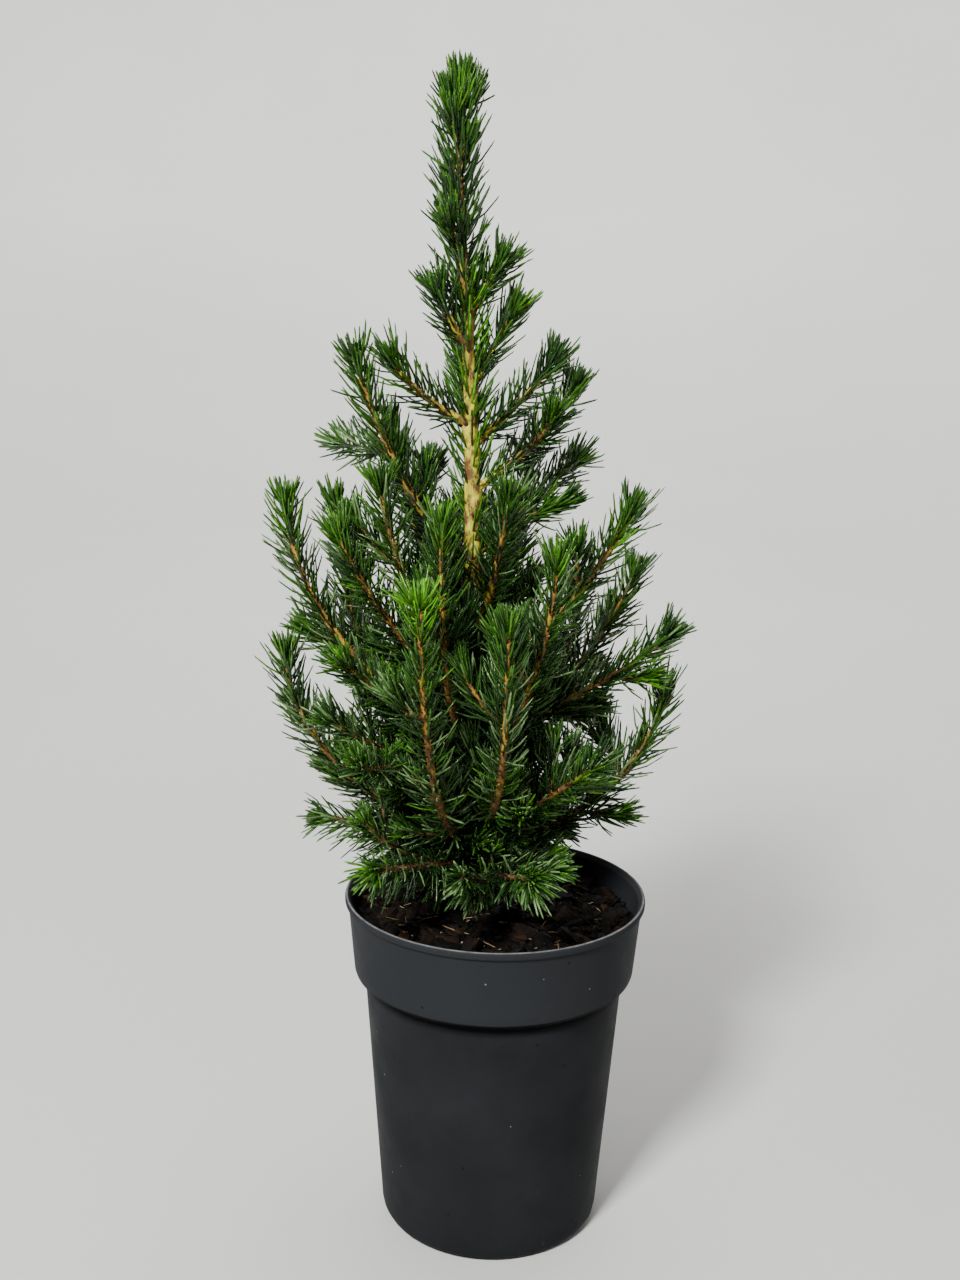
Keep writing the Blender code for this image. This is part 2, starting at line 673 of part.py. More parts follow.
def main():
    clear_scene()
    materials = {name: make_material(name) for name in MATERIALS}
    make_pot(materials["pot_grey"])
    make_soil(materials["soil_brown"])
    make_trunk(materials["trunk_bark"])
    limbs, stems = plan_tree()
    for limb in limbs:
        make_limb(limb, materials["bough_bark"])
    for shoot in (*SHOOTS, *SLEEVES):
        make_mass(shoot.name, stems, limbs, materials["needles_green"])


if __name__ == "__main__":
    main()
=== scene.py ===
"""A small potted conifer: grey nursery pot, bark-chip soil and upturned shoots thick with needles.

Run as a script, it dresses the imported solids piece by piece. Lengths are in millimetres unless a
name or a property says otherwise, heights on the tree are measured up from the soil, and the side
that faces -Y is the front. Each piece is built at its place, with its object at the origin.
"""

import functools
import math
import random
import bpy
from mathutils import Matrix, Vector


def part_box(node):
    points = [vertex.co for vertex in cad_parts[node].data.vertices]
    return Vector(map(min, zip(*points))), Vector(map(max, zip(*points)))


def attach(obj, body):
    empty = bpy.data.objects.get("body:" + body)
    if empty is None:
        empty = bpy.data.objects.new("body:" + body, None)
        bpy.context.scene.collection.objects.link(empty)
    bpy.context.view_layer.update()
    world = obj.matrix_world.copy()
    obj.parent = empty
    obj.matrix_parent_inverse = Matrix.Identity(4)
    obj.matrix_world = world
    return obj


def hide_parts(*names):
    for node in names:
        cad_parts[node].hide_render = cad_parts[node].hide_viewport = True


bl_info = {
    "name": "Potted Conifer",
    "version": (1, 0, 0),
    "blender": (4, 5, 0),
    "location": "View3D > Sidebar > Conifer",
    "description": "Builds a small potted conifer, needle by needle, round its packed solids",
    "category": "Add Mesh",
}

from collections import namedtuple

import bpy
import numpy as np
from mathutils import Matrix, Vector, noise

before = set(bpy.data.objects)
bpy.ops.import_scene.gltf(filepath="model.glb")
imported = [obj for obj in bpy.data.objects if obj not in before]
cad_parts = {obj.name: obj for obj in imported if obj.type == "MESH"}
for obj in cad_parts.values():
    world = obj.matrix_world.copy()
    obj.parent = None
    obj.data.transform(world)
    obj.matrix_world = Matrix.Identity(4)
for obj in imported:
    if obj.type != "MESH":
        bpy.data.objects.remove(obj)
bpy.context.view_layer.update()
POT_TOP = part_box("pot")[1]
SOIL_LOW, SOIL_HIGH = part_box("soil")
MASSES = sorted(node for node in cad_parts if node.startswith("mass_"))
BOUGHS = sorted(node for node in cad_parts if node.startswith("bough_"))

# A millimetre in metres, the gap between a shoot's solids and what carries them, and the seed of all
# random draws.
MM = 0.001
GAP = 0.3
SEED = 7
GOLDEN_ANGLE = math.pi * (3 - math.sqrt(5))

# Pot: insets from the rim's radius and depths from the rim's top.
LIP_OVERHANG = 1.5
LIP_DEPTH = 3.0
COLLAR_INSET = 4.2
COLLAR_DEPTH = 33.0
WAIST_INSET = 9.0
WAIST_DEPTH = 39.5
FOOT_INSET = 16.8
FOOT_ROUND = 6.0
UNDERSIDE_INSET = 20.5
WALL = 1.5
FLOOR = 2.2
DRAIN_HOLES = 6
DRAIN_CIRCLE = 34.0
DRAIN_RADIUS = 4.0
DRILL_SIDES = 32
EDGE_ROUND = 0.45
EDGE_SEGMENTS = 3
EDGE_ANGLE = 24

# Finish of the pot: its specks, the painted shade below its collar, and how much paler the collar is
# painted, as painted light.
PALE_SPECKS = {"Scale": 260.0, "Size": 0.08, "Share": 0.045}
PALE_SPECK = (0.35, 0.34, 0.32)
DARK_SPECKS = {"Scale": 170.0, "Size": 0.12, "Share": 0.08}
DARK_SPECK = (0.006, 0.005, 0.005)
COLLAR_PAINTED_SHADE = (0.0008, 0.0007, 0.0006)
COLLAR_PAINTED_SHADE_REACH = (8.5, 5.0)
COLLAR_PAINTED_LIGHT = 1.55
COLLAR_STEP = 1.0

# Soil: the level of its top, its walls as (inset, height) pairs, and its lumps as (how fine, place
# in the noise, share) rows.
SOIL_TOP = 138.0
SOIL_SIDES = 96
SOIL_INSET = 0.1
SOIL_RING_STEP = 2.2
SOIL_FOOT_INSET = 14.0
SOIL_WALL = ((6.6, 110.0), (2.2, 119.0))
SOIL_LUMPS = ((0.06, 3.1, 0.9), (0.22, 8.7, 0.75))

# What lies on the soil: chips in three tones, each with its share, dry fibres and pale flecks.
CHIP_RINGS = ((-0.3, 0.8), (0.15, 1.0), (0.5, 0.72))
CHIP_CORNERS = 6
CHIP_ENDS = (-0.45, 0.55)
CHIP_TONES = {
    "soil_chips_dark": ((0.0016, 0.0012, 0.0009), 0.66),
    "soil_chips_brown": ((0.0066, 0.0038, 0.0020), 0.28),
    "soil_chips_rusty": ((0.015, 0.0068, 0.0029), 0.06),
}
CHIP_LOG_LENGTH = (1.75, 0.55)
CHIP_LENGTHS = (1.8, 15.0)
CHIP_WIDTHS = (0.4, 0.8)
CHIP_DEPTHS = (0.16, 0.36)
CHIP_HEIGHTS = (-0.1, 1.1)
CHIP_TILT = 0.4
CHIP_INSET = 2.5
CHIP_UNEVEN = 0.22
GLINTS = 0.01
FIBRE_RINGS = ((-0.42, 0.7), (0.0, 1.0), (0.42, 0.7))
FIBRE_WIDTH = 0.42
FIBRE_LENGTHS = (6.0, 20.0)
FIBRE_HEIGHTS = (1.1, 1.9)
FIBRE_TILT = 0.16
FIBRE_INSET = 7.0
FIBRE_BEND = 0.35
FIBRE_SAG = -0.1
FIBRE_COLOURS = ((0.36, 0.27, 0.13), (0.14, 0.06, 0.02))
FLECKS = 22
FLECK_SIZES = (0.5, 1.3)
FLECK_SHAPE = (1.0, 0.8, 0.6)
FLECK_HEIGHTS = (0.9, 1.6)
FLECK_TILT = 0.8
FLECK_INSET = 4.0
FLECK_COLOUR = (0.36, 0.34, 0.30)

# Trunk: height above the soil, sideways, front to back, and radius. The scale is how many times as
# thick the dressed trunk is at some heights. The point is how its tip narrows: the share of its
# radius at the very end, and the length over which that grows by one.
TRUNK_LINE = (
    (0.0, -9.0, 9.0, 4.4),
    (100.0, -11.5, 6.0, 3.5),
    (190.0, -13.0, 3.0, 2.8),
    (250.0, -15.5, 1.0, 2.3),
    (303.0, -20.0, 0.0, 1.7),
    (336.0, -20.0, 0.0, 1.1),
)
TRUNK_HEIGHT = TRUNK_LINE[-1][0]
TRUNK_EASING = 12.0
TRUNK_SUNK = 1.0
TRUNK_SCALE = ((150.0, 1.16), (205.0, 1.08), (235.0, 0.94))
TRUNK_POINT = (0.25, 6.0)
FLARE = 3.6
FLARE_HEIGHT = 9.0
FLARE_ROOTS = 4
FLARE_LOBE = 0.35

# Bark relief: the collar under each shoot, the flakes on the trunk, and the ridges on the twigs.
SHOOT_COLLAR_REACH = 9.0
SHOOT_COLLAR_SWELL = 1.1
SHOOT_COLLAR_DROP = 2.0
SHOOT_COLLAR_SPREAD = 4.6
FLAKE_STRETCH = (0.5, 0.5, 0.16)
FLAKE_NOISE = (0.7, 2.2, 4)
FLAKES_FADE = 150.0
RIDGE_SCALE = 0.9
RIDGE_FINER = 2.3
RIDGE_FINE_SHARE = 0.6
RIDGE_LEVEL = 0.08
RIDGE_HEIGHT = 0.26

# Bark tones, with places in metres from the origin: the heights where the trunk's pale stretch starts
# and ends, the heart of the crown, where shoots are pale, and the low shoots, which are browner.
PALE_STRETCH = (0.268, 0.375)
BARK_PATCHES = 300.0
HEART = (-0.014, 0.003)
HEART_REACH = (0.026, 0.010)
HEART_HEIGHTS = (0.262, 0.285)
LOW_HEIGHTS = (0.25, 0.17)
LOW_SHARE = 0.12
LOW_DARK_HEIGHTS = (0.192, 0.170)
LOW_DARK = 0.45

# Old bark at the trunk's foot: its two tones, and the heights in metres where it starts and is all.
OLD_BARK_DARK = (0.022, 0.012, 0.007)
OLD_BARK_PALE = (0.095, 0.060, 0.032)
OLD_BARK_HEIGHTS = (0.205, 0.162)

# Small side tufts of the leader: height above the soil, the way each faces, and how far out it ends.
LEADER_TUFTS = (
    (288.0, -165.0, 3.0),
    (300.0, 150.0, 2.4),
    (316.0, -40.0, 2.4),
    (322.0, -95.0, 1.8),
    (333.0, -150.0, 4.2),
    (334.0, 10.0, 4.4),
    (333.0, 100.0, 3.6),
    (332.0, -70.0, 3.2),
)
TUFT_FROM = 0.62
LEADER_TUFT_BEND = 0.8
LEADER_TUFT_RISE = (1.5, 4.5)
LEADER_TUFT_RADII = (1.0, 0.8)

# How many millimetres a few shoots stop short of the tips of their solids.
TRIMMED = {"front_tall": 6, "front_left": 3, "high_front": 2, "right_outer": 2}

# Resting buds on the bare trunk: height above the soil, and the way each faces. Then the size of the
# buds at tips, and the width, length and distance from the bark of those on shoots and on the trunk.
TRUNK_BUDS = ((245.0, -100.0), (232.0, -45.0), (213.0, -128.0), (176.0, -80.0))
BUD_RINGS = ((-0.25, 0.75), (0.1, 1.0), (0.5, 0.82), (0.8, 0.4))
BUD_SIDES = 7
BUD_ROOT = -0.5
END_BUDS = {"shoot": 1.9, "twig": 1.4, "tuft": 1.4}
END_BUD_WIDTH = 0.8
SIDE_BUD = (1.1, 1.5, 1.2)
SIDE_BUDS = {"shoot": 2}
SIDE_BUD_LEAN = (0.6, 0.8)
TRUNK_BUD = (2.3, 2.6, 0.5)
TRUNK_BUD_RISE = (0.0, 0.0, 0.8)
BUD_COLOURS = ((0.16, 0.055, 0.022), (0.05, 0.018, 0.010))

# Limbs and stems: radii, how many sides each kind has in the solids, and how shoots sway and swell.
LIMB_SIDES = 6
LIMB_RADII = (2.1, 1.3)
LIMB_RING_STEP = 9.0
CORE_SIDES = 5
CORE_RADII = (1.3, 0.8)
FORK_RADII = (1.1, 0.7)
TWIG_SIDES = 4
TWIG_RADII = (0.95, 0.7)
LINE_STEP = 0.5
FINE_STEP = 1.5
FINEST_STEP = 0.1
SWAY = 0.02
FOOT_SWELL = 0.8
FOOT_SWELL_LENGTH = 5.0
TAPER = 0.8
ROOT_SWELL = 0.3
TIP_THINNER = 0.1
SWEEP_POINTS = 41
SWAY_TURNS = 1.5
LOOK_AHEAD = 16

# Side twigs: where along a shoot they leave it, their length, the angle at which they leave, how
# much their tips lift, and how far they stay from other stems and above the soil.
TWIG_SPAN = (0.12, 0.6)
TWIG_LENGTH = (16.0, 27.0)
TWIG_SHORTER = (1.15, 0.4)
TWIG_ROLL = 50.0
TWIG_LEAN = (40.0, 55.0)
TWIG_LIFT = 0.18
TWIG_SWEEP = 1.15
TWIG_TRIES = 12
TWIG_CLEAR = 6.5
OWN_CLEAR = 0.8
TWIG_OVER_SOIL = 12.0
FORK_SWEEP = 1.25

# Shoots: each leaves the trunk at its foot, points to its heading (0 is right, 90 is away, -90 is
# to the front) and ends at its reach and tip height. A sweep of 1 is straight, and 2 goes out level
# and turns upright. Bare is the length of its bough. Twigs is how many seeded side twigs it has.
Shoot = namedtuple("Shoot", "name foot heading reach tip sweep bare twigs")
SHOOTS = (
    Shoot("crest_right", 256, -25, 14, 275, 1.0, 0, 0),
    Shoot("crest_left", 243, -135, 17, 264, 1.1, 0, 0),
    Shoot("crest_right_low", 227, 15, 17, 257, 1.0, 0, 0),
    Shoot("upper_left", 213, -155, 34, 237, 1.2, 0, 0),
    Shoot("upper_right", 204, 5, 32, 237, 1.1, 0, 0),
    Shoot("upper_back", 205, 100, 32, 240, 1.2, 0, 0),
    Shoot("high_right", 186, 14, 42, 226, 1.2, 0, 0),
    Shoot("high_right_back", 157, 35, 52, 194, 1.0, 0, 1),
    Shoot("high_left", 150, -156, 51, 237, 1.2, 26, 1),
    Shoot("high_front", 123, -68, 35, 187, 1.3, 24, 0),
    Shoot("left_front_tall", 106, -132, 55, 190, 1.3, 34, 1),
    Shoot("front_tall", 80, -105, 54, 183, 1.7, 40, 1),
    Shoot("front_left", 35, -106, 78, 153, 1.7, 36, 1),
    Shoot("front_right", 45, -78, 64, 139, 1.9, 40, 1),
    Shoot("right_front", 66, -57, 56, 162, 1.5, 38, 1),
    Shoot("right_tall", 97, -9, 64, 178, 1.15, 34, 1),
    Shoot("right_back", 62, 24, 75, 145, 1.2, 0, 2),
    Shoot("right_outer", 78, 5, 83, 125, 1.2, 30, 1),
    Shoot("right_low", 28, 8, 82, 97, 1.6, 28, 1),
    Shoot("right_low_front", 29, -48, 70, 82, 1.0, 0, 2),
    Shoot("left_outer", 89, -170, 78, 179, 1.6, 32, 1),
    Shoot("left_front", 92, -147, 64, 170, 1.15, 34, 0),
    Shoot("left_back", 75, 158, 62, 146, 1.6, 0, 2),
    Shoot("left_front_low", 66, -131, 76, 124, 1.0, 0, 2),
    Shoot("left_low", 37, -171, 80, 115, 1.6, 30, 1),
    Shoot("left_low_front", 52, -145, 70, 96, 1.0, 0, 1),
    Shoot("skirt_left", 27, 173, 66, 39, 1.1, 0, 2),
    Shoot("skirt_front_left", 22, -123, 70, 40, 1.0, 0, 1),
    Shoot("skirt_front", 18, -72, 70, 40, 1.0, 0, 2),
    Shoot("skirt_right", 22, 38, 66, 48, 1.1, 0, 2),
    Shoot("skirt_back", 20, 98, 64, 44, 1.1, 0, 1),
    Shoot("back_left_tall", 128, 128, 54, 196, 1.4, 30, 1),
    Shoot("back_right_tall", 118, 65, 54, 190, 1.4, 0, 2),
    Shoot("back_mid", 84, 96, 66, 166, 1.5, 40, 1),
    Shoot("back_right", 52, 52, 78, 130, 1.5, 40, 1),
    Shoot("back_left", 48, 134, 78, 134, 1.5, 40, 1),
    Shoot("back_low", 34, 88, 80, 100, 1.5, 0, 2),
)

# Forks: side shoots that leave a shoot at a share of its length, to a heading, reach and tip.
Fork = namedtuple("Fork", "shoot at heading reach tip")
FORKS = (
    Fork("high_right", 0.45, -22, 34, 217),
    Fork("high_left", 0.45, 162, 60, 202),
    Fork("left_front", 0.5, 176, 58, 176),
    Fork("right_low", 0.5, 26, 62, 80),
    Fork("left_low", 0.6, -178, 76, 90),
    Fork("left_low_front", 0.45, -124, 78, 86),
    Fork("skirt_front_left", 0.3, -140, 58, 52),
    Fork("skirt_front", 0.4, -94, 60, 38),
    Fork("skirt_front", 0.35, -34, 38, 33),
    Fork("skirt_back", 0.35, 134, 66, 50),
)

# Leader: needles round the trunk's top, as two sleeves, each with a small side tuft.
Sleeve = namedtuple("Sleeve", "name foot top tuft_at tuft_heading tuft_reach tuft_tip")
SLEEVES = (
    Sleeve("leader_low", 274.0, 297.0, 277.0, -113, 14.0, 291.0),
    Sleeve("leader_top", 299.0, TRUNK_HEIGHT, 318.0, -110, 8.0, 330.0),
)
LEADER_TIP = 3.5

# New growth: how bright the young needles are at the ends of a few shoots, 0 to 1.
FRESH = {
    "front_left": 0.58,
    "front_right": 0.08,
    "high_front": 0.16,
    "front_tall": 0.16,
    "right_front": 0.1,
    "crest_right": 0.14,
    "left_front": 0.12,
    "leader_top": 0.1,
}
FRESH_ELSEWHERE = 0.04
TWIG_FRESH = 0.05

# Inner twigs, which only the dressed tree has: how far apart they leave a shoot and the trunk, how
# long they are, how far from the trunk their tips may be at each height above the soil, and how many
# times as far they may be to the left and right.
INNER_STEP = 9
INNER_SPAN = (0.06, 0.8)
INNER_LENGTH = (13.0, 26.0)
INNER_SHORTER = (1.15, 0.5)
INNER_LEAN = (38.0, 62.0)
INNER_LIFT = 0.16
INNER_RADII = (0.75, 0.5)
INNER_OVER_SOIL = 9.0
TRUNK_TWIG_HEIGHTS = (10.0, 150.0)
TRUNK_TWIG_STEP = 5.0
TRUNK_TWIG_LENGTH = (20.0, 38.0)
FILL = (
    (0.0, 24.0), (30.0, 31.0), (50.0, 38.0), (72.0, 40.0), (92.0, 39.0), (112.0, 37.0), (133.0, 34.0),
    (153.0, 32.0), (174.0, 27.0), (195.0, 21.0), (215.0, 14.0), (235.0, 8.0), (250.0, 0.0),
)
FILL_ASIDE = ((20.0, 1.0), (50.0, 1.25), (70.0, 1.45), (100.0, 1.4), (125.0, 1.15), (145.0, 1.0))
BARE_TRUNK = (154.0, 252.0, 9.0)

# Needles: how they lean out from their stem, in degrees, by how far they are from its tip, and how
# wide the brush at its tip opens.
LEAN_FROM_TIP = ((0.0, 22.0), (3.0, 32.0), (8.0, 42.0), (18.0, 50.0), (45.0, 56.0), (90.0, 61.0))
FAR_FROM_TIP = 30.0
LEAN_SPREAD = 10.0
TURN_SPREAD = 0.25
END_LEAN = (2.0, 46.0)
MOST_LEAN = 78.0
SPREAD_ZONE = 12.0
TUFT_SPREAD = {"front_left": 1.7, "high_front": 1.3}
USUAL_SPREAD = {"shoot": 1.2, "tuft": 0.6}
LEADER_SPREAD = 0.75

# Crowding: how far apart they stand, the tuft near a tip, and how many end a stem of each kind.
STEP_RANGE = (0.7, 1.3)
TUFT_ZONE = 5.5
TUFT_CROWDING = 2.2
END_NEEDLES = {"shoot": 34, "twig": 26, "tuft": 26, "inner": 18, "leader": 38}
END_INSET = 0.2

# Lengths: those in a tip's brush end together, and each is kept between two limits.
BRUSH_ZONE = (5.0, 13.0)
BRUSH_LENGTHS = ((0.62, 0.98), (0.98, 0.64))
LENGTH_SPREAD = 0.12
LENGTHS_ALONG = ((0.0, 0.35, 1.0), (0.88, 1.02, 1.04))
LENGTH_LIMITS = (0.55, 1.2)

# Their turn up towards the light, or down on the shoots of the skirt.
TURN_UP = 0.16
NEEDLE_LIFT = 0.06
DROOP = {
    "skirt_left": 0.36,
    "skirt_front_left": 0.36,
    "skirt_front": 0.36,
    "skirt_right": 0.3,
    "skirt_back": 0.3,
}
DROOP_FROM = 0.85
MOST_DROOP = 1.3
SKIRT_LIFT = -0.1

# The shape of one needle, in shares of its length and width, and how it stands in the bark.
NEEDLE_SIDES = 3
NEEDLE_RINGS = ((0.12, 0.94), (0.55, 1.0), (0.92, 0.74))
NEEDLE_ROOT = -0.08
NEEDLE_THICKNESS = 0.8
NEEDLE_BEND = 0.24
BEND_RANGE = (0.3, 1.7)
WIDTH_SPREAD = 0.08
ROLL_SPREAD = 0.2
ROOT_DEPTH = 0.75

# Tones, 0 to 1: each spray of needles has its own, and they grow lighter towards a shoot's tip.
SPRAY_LENGTH = 8.0
SPRAY_SPREAD = 0.13
TONE_SPREAD = 0.11
TONE_AT_FOOT = 0.31
TONE_TO_TIP = 0.15
TONE_OF_TIP = 0.03
TONE_OF_FRESH = 0.62
FRESH_CURVE = 1.4
TIP_ZONE = (20.0, 18.0)

# How the needles differ on inner twigs and on the skirt: crowding, tone and length.
Habit = namedtuple("Habit", "crowding tone length")
HABITS = {
    "inner": Habit(0.75, -0.08, 0.9),
    "skirt": Habit(0.88, -0.07, 0.93),
    "usual": Habit(1.0, 0.0, 1.0),
}

# Needles on the trunk: from and to which height, how crowded, how long, how much lighter, and
# whether they end in the leader's brush.
Stretch = namedtuple("Stretch", "low high crowding length lighter brush")
STRETCHES = (
    Stretch(110.0, 170.0, 1.8, 1.14, 0.22, False),
    Stretch(170.0, 262.0, 2.4, 1.14, 0.22, False),
    Stretch(256.0, TRUNK_HEIGHT + LEADER_TIP, 3.1, 1.2, 0.07, True),
)
TRUNK_POINTS = 60
TRUNK_LENGTH_SPREAD = 0.08
TRUNK_FORWARD = 0.2
LEADER_BRUSH = (0.55, 0.45)
FRONT_FACING = -0.3
FRONT_KEPT = 0.35

# How far needles stay above the soil, and above and inside the pot's rim.
SOIL_CLEAR = 2.0
RIM_CLEAR = (1.0, 4.5)

# Woody pegs that the needles stand on: shape, size, how far they lie forward, and from where on a
# shoot they and the needles start.
PEG_RINGS = ((0.3, 1.0),)
PEG_SIDES = 4
PEG_ENDS = (-0.3, 0.7)
PEG_SIZE = (0.85, 0.7, 1.9)
PEG_FORWARD = 0.5
PEG_ROLL = 0.05
PEG_SPREAD = 0.16
PEGS_FROM = 0.03
NEEDLES_FROM = 0.1

# Tints by tone, the share of needles that show their pale banded side, partly as a painted highlight, at
# each height above the soil, and how many triangles one piece may have.
TINTS = ("deep", "shade", "mid", "bright", "fresh", "silver")
TINT_STEPS = (0.25, 0.45, 0.66, 0.86)
SILVER_AND_SHEEN_SHARE = ((0.0, 0.22), (40.0, 0.22), (120.0, 0.18), (200.0, 0.07), (300.0, 0.02))
SILVER_AND_SHEEN_BELOW = 0.58
NEEDLE_SHEEN = (0.82, 1.0, 0.6, 1.0)
MOST_TRIANGLES = 195000

# Stage, in metres: the cove, the lights (place, size and the place each points at) and the camera,
# whose lens is in millimetres and whose pitch and roll are in degrees.
COVE_SIDES = 96
COVE_BEND = 2.4
COVE_STEPS = 12
COVE_WALL = 2.0
PLANT_MIDDLE = (0.0, 0.0, 0.3)
LIGHTS = {
    "key": ((-0.55, -1.15, 1.3), 0.3, PLANT_MIDDLE),
    "fill": ((1.6, -0.8, 1.0), 1.2, PLANT_MIDDLE),
    "top": ((0.1, 0.4, 2.1), 1.2, PLANT_MIDDLE),
    "backdrop": ((0.0, 1.0, 2.4), 1.5, (0.0, 3.9, 1.0)),
}
ROOM_COLOUR = (1.0, 0.99, 0.97, 1.0)
ROOM_STRENGTH = 0.15
CAMERA_PLACE = (-0.0086, -0.6115, 0.40065)
CAMERA_LENS = 42.19
CAMERA_PITCH = 12.83
CAMERA_ROLL = 1.07

# A stem or limb: whose it is, its line, its radius at each end, and its sides.
Stem = namedtuple("Stem", "owner points radii sides")


def length_property(name, description, default, least=0.0):
    return bpy.props.FloatProperty(
        name=name, description=description, default=default, min=least, unit="LENGTH"
    )


def power_property(name, description, default):
    return bpy.props.FloatProperty(
        name=name, description=description, default=default, min=0.0, unit="POWER"
    )


def count_property(name, description, default, least=0):
    return bpy.props.IntProperty(name=name, description=description, default=default, min=least)


def colour_property(name, description, default):
    return bpy.props.FloatVectorProperty(
        name=name, description=description, default=default, size=3, min=0.0, max=1.0, subtype="COLOR"
    )


class PotSettings(bpy.types.PropertyGroup):
    """Size and finish of the pot."""

    rim_radius: length_property("Rim radius", "Outer radius of the rim", POT_TOP.x, 0.02)
    height: length_property("Height", "Height from the underside to the rim's top", POT_TOP.z, 0.05)
    sides: count_property("Sides", "How many sides the pot is turned with", 144, 24)
    plastic: colour_property("Plastic", "Colour of the moulded plastic", (0.0130, 0.0141, 0.0155))
    # The worn colour is the rim's rubbed, dusty edge and also a painted highlight there; the drag marks use
    # it too.
    worn_and_highlight: colour_property("Worn edge", "Colour where the rim is rubbed and dusty", (0.21, 0.21, 0.21))


class SoilSettings(bpy.types.PropertyGroup):
    """Lumps, chips and colours of the soil."""

    lump: length_property("Lump height", "How far the soil rises and falls about its level", 0.0016)
    chips: count_property("Chips", "How many bark chips and crumbs lie on the soil", 1350)
    fibres: count_property("Fibres", "How many dry fibres lie on the soil", 84)
    peat: colour_property("Peat", "Colour of the fine soil", (0.0030, 0.0023, 0.0018))


class BarkSettings(bpy.types.PropertyGroup):
    """Relief and colours of the bark."""

    trunk_sides: count_property("Trunk sides", "How many sides the trunk has", 40, 12)
    trunk_ring: length_property("Trunk ring", "Height between the trunk's rings", 0.0018, 0.0005)
    relief: length_property("Relief", "How far the bark's flakes stand out", 0.00042)
    pale: colour_property("Pale bark", "Colour of the trunk's thin pale bark", (0.66, 0.595, 0.040))
    shoot: colour_property("Shoot bark", "Colour of the bark on young shoots", (0.50, 0.27, 0.022))
    brown: colour_property("Brown bark", "Colour of the brown patches and knots", (0.125, 0.053, 0.011))


class NeedleSettings(bpy.types.PropertyGroup):
    """Size, number and tints of the needles."""

    length: length_property("Length", "Length of a usual needle", 0.0138, 0.002)
    width: length_property("Width", "Width of a usual needle", 0.00112, 0.0002)
    crowding: bpy.props.FloatProperty(
        name="Crowding", description="Needles for each millimetre of stem", default=2.35, min=0.1
    )
    deep: colour_property("Deep", "Darkest tint, inside the crown", (0.0058, 0.0190, 0.0050))
    shade: colour_property("Shade", "Dark tint of old needles", (0.0118, 0.0395, 0.0070))
    mid: colour_property("Mid", "Middle tint", (0.0245, 0.081, 0.0062))
    bright: colour_property("Bright", "Tint of last year's tips", (0.049, 0.152, 0.0052))
    fresh: colour_property("Fresh", "Yellow-green tint of new growth", (0.085, 0.31, 0.004))
    # The silver tint is partly the needles' pale banded side and partly a painted highlight.
    silver: colour_property(
        "Silver", "Pale tint of needles that show their banded side", (0.100, 0.178, 0.060)
    )


class StageSettings(bpy.types.PropertyGroup):
    """Floor and lights."""

    radius: length_property("Cove radius", "Radius of the round floor", 1.7, 1.0)
    paint: colour_property("Paint", "Colour of the floor and cove", (0.72, 0.715, 0.70))
    key: power_property("Key light", "Power of the light at the front left", 62.0)
    fill: power_property("Fill light", "Power of the light on the right", 2.0)
    top: power_property("Top light", "Power of the light over the plant", 18.0)
    backdrop: power_property("Backdrop light", "Power of the light on the wall behind the plant", 127.0)


# Mesh tools


def start_piece():
    """Object mode with nothing selected, which an operator that acts on the selection needs."""
    if bpy.context.mode != "OBJECT":
        bpy.ops.object.mode_set(mode="OBJECT")
    bpy.ops.object.select_all(action="DESELECT")


def settle(obj):
    """Moves an object's place into its mesh."""
    obj.data.transform(obj.matrix_world)
    obj.matrix_world = Matrix.Identity(4)


def start_disc(sides, radius, place=(0.0, 0.0, 0.0)):
    """A disc in edit mode, all selected, from which a piece is raised. Its sizes are in metres."""
    start_piece()
    bpy.ops.mesh.primitive_circle_add(vertices=sides, radius=radius, fill_type="NGON", location=place)
    bpy.ops.object.mode_set(mode="EDIT")
    bpy.ops.mesh.select_all(action="SELECT")
    return bpy.context.object


def close_piece(obj):
    """Turns all faces of a piece outwards and leaves edit mode."""
    bpy.ops.mesh.select_all(action="SELECT")
    bpy.ops.mesh.normals_make_consistent(inside=False)
    bpy.ops.object.mode_set(mode="OBJECT")
    settle(obj)


def apply_modifiers(obj):
    bpy.context.view_layer.objects.active = obj
    for modifier in list(obj.modifiers):
        bpy.ops.object.modifier_apply(modifier=modifier.name)


def finish_piece(obj, name, material, nodes=(), smooth_angle=None):
    """Names a piece, moves its place into its mesh, and ties it to the frame."""
    obj.name = obj.data.name = name
    settle(obj)
    obj.data.materials.clear()
    obj.data.materials.append(material)
    if smooth_angle is not None:
        start_piece()
        obj.select_set(True)
        bpy.context.view_layer.objects.active = obj
        bpy.ops.object.shade_smooth_by_angle(angle=math.radians(smooth_angle))
    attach(obj, "root")
    if len(nodes):
        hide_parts(*nodes)
    return obj


def raise_rings(outline):
    """Extrudes the selected face from ring to ring of a turned (radius, height) outline."""
    for (radius, height), (wider, higher) in zip(outline, outline[1:]):
        rise = (0.0, 0.0, (higher - height) * MM)
        bpy.ops.mesh.extrude_region_move(TRANSFORM_OT_translate={"value": rise})
        growth = wider / radius
        bpy.ops.transform.resize(value=(growth, growth, 1.0), center_override=(0.0, 0.0, 0.0))


def piece_from_arrays(name, points, faces, material, nodes=()):
    """One finished piece from points in millimetres and face arrays, each of one face size."""
    mesh = bpy.data.meshes.new(name)
    corners = np.concatenate([part.reshape(-1) for part in faces]).astype(np.int32)
    sizes = np.concatenate([np.full(len(part), part.shape[1]) for part in faces])
    starts = np.concatenate([[0], np.cumsum(sizes)[:-1]]).astype(np.int32)
    mesh.vertices.add(len(points))
    mesh.vertices.foreach_set("co", (points * MM).astype(np.float32).reshape(-1))
    mesh.loops.add(len(corners))
    mesh.loops.foreach_set("vertex_index", corners)
    mesh.polygons.add(len(sizes))
    mesh.polygons.foreach_set("loop_start", starts)
    mesh.polygons.foreach_set("use_smooth", np.ones(len(sizes), bool))
    mesh.update(calc_edges=True)
    obj = bpy.data.objects.new(name, mesh)
    bpy.context.scene.collection.objects.link(obj)
    return finish_piece(obj, name, material, nodes)


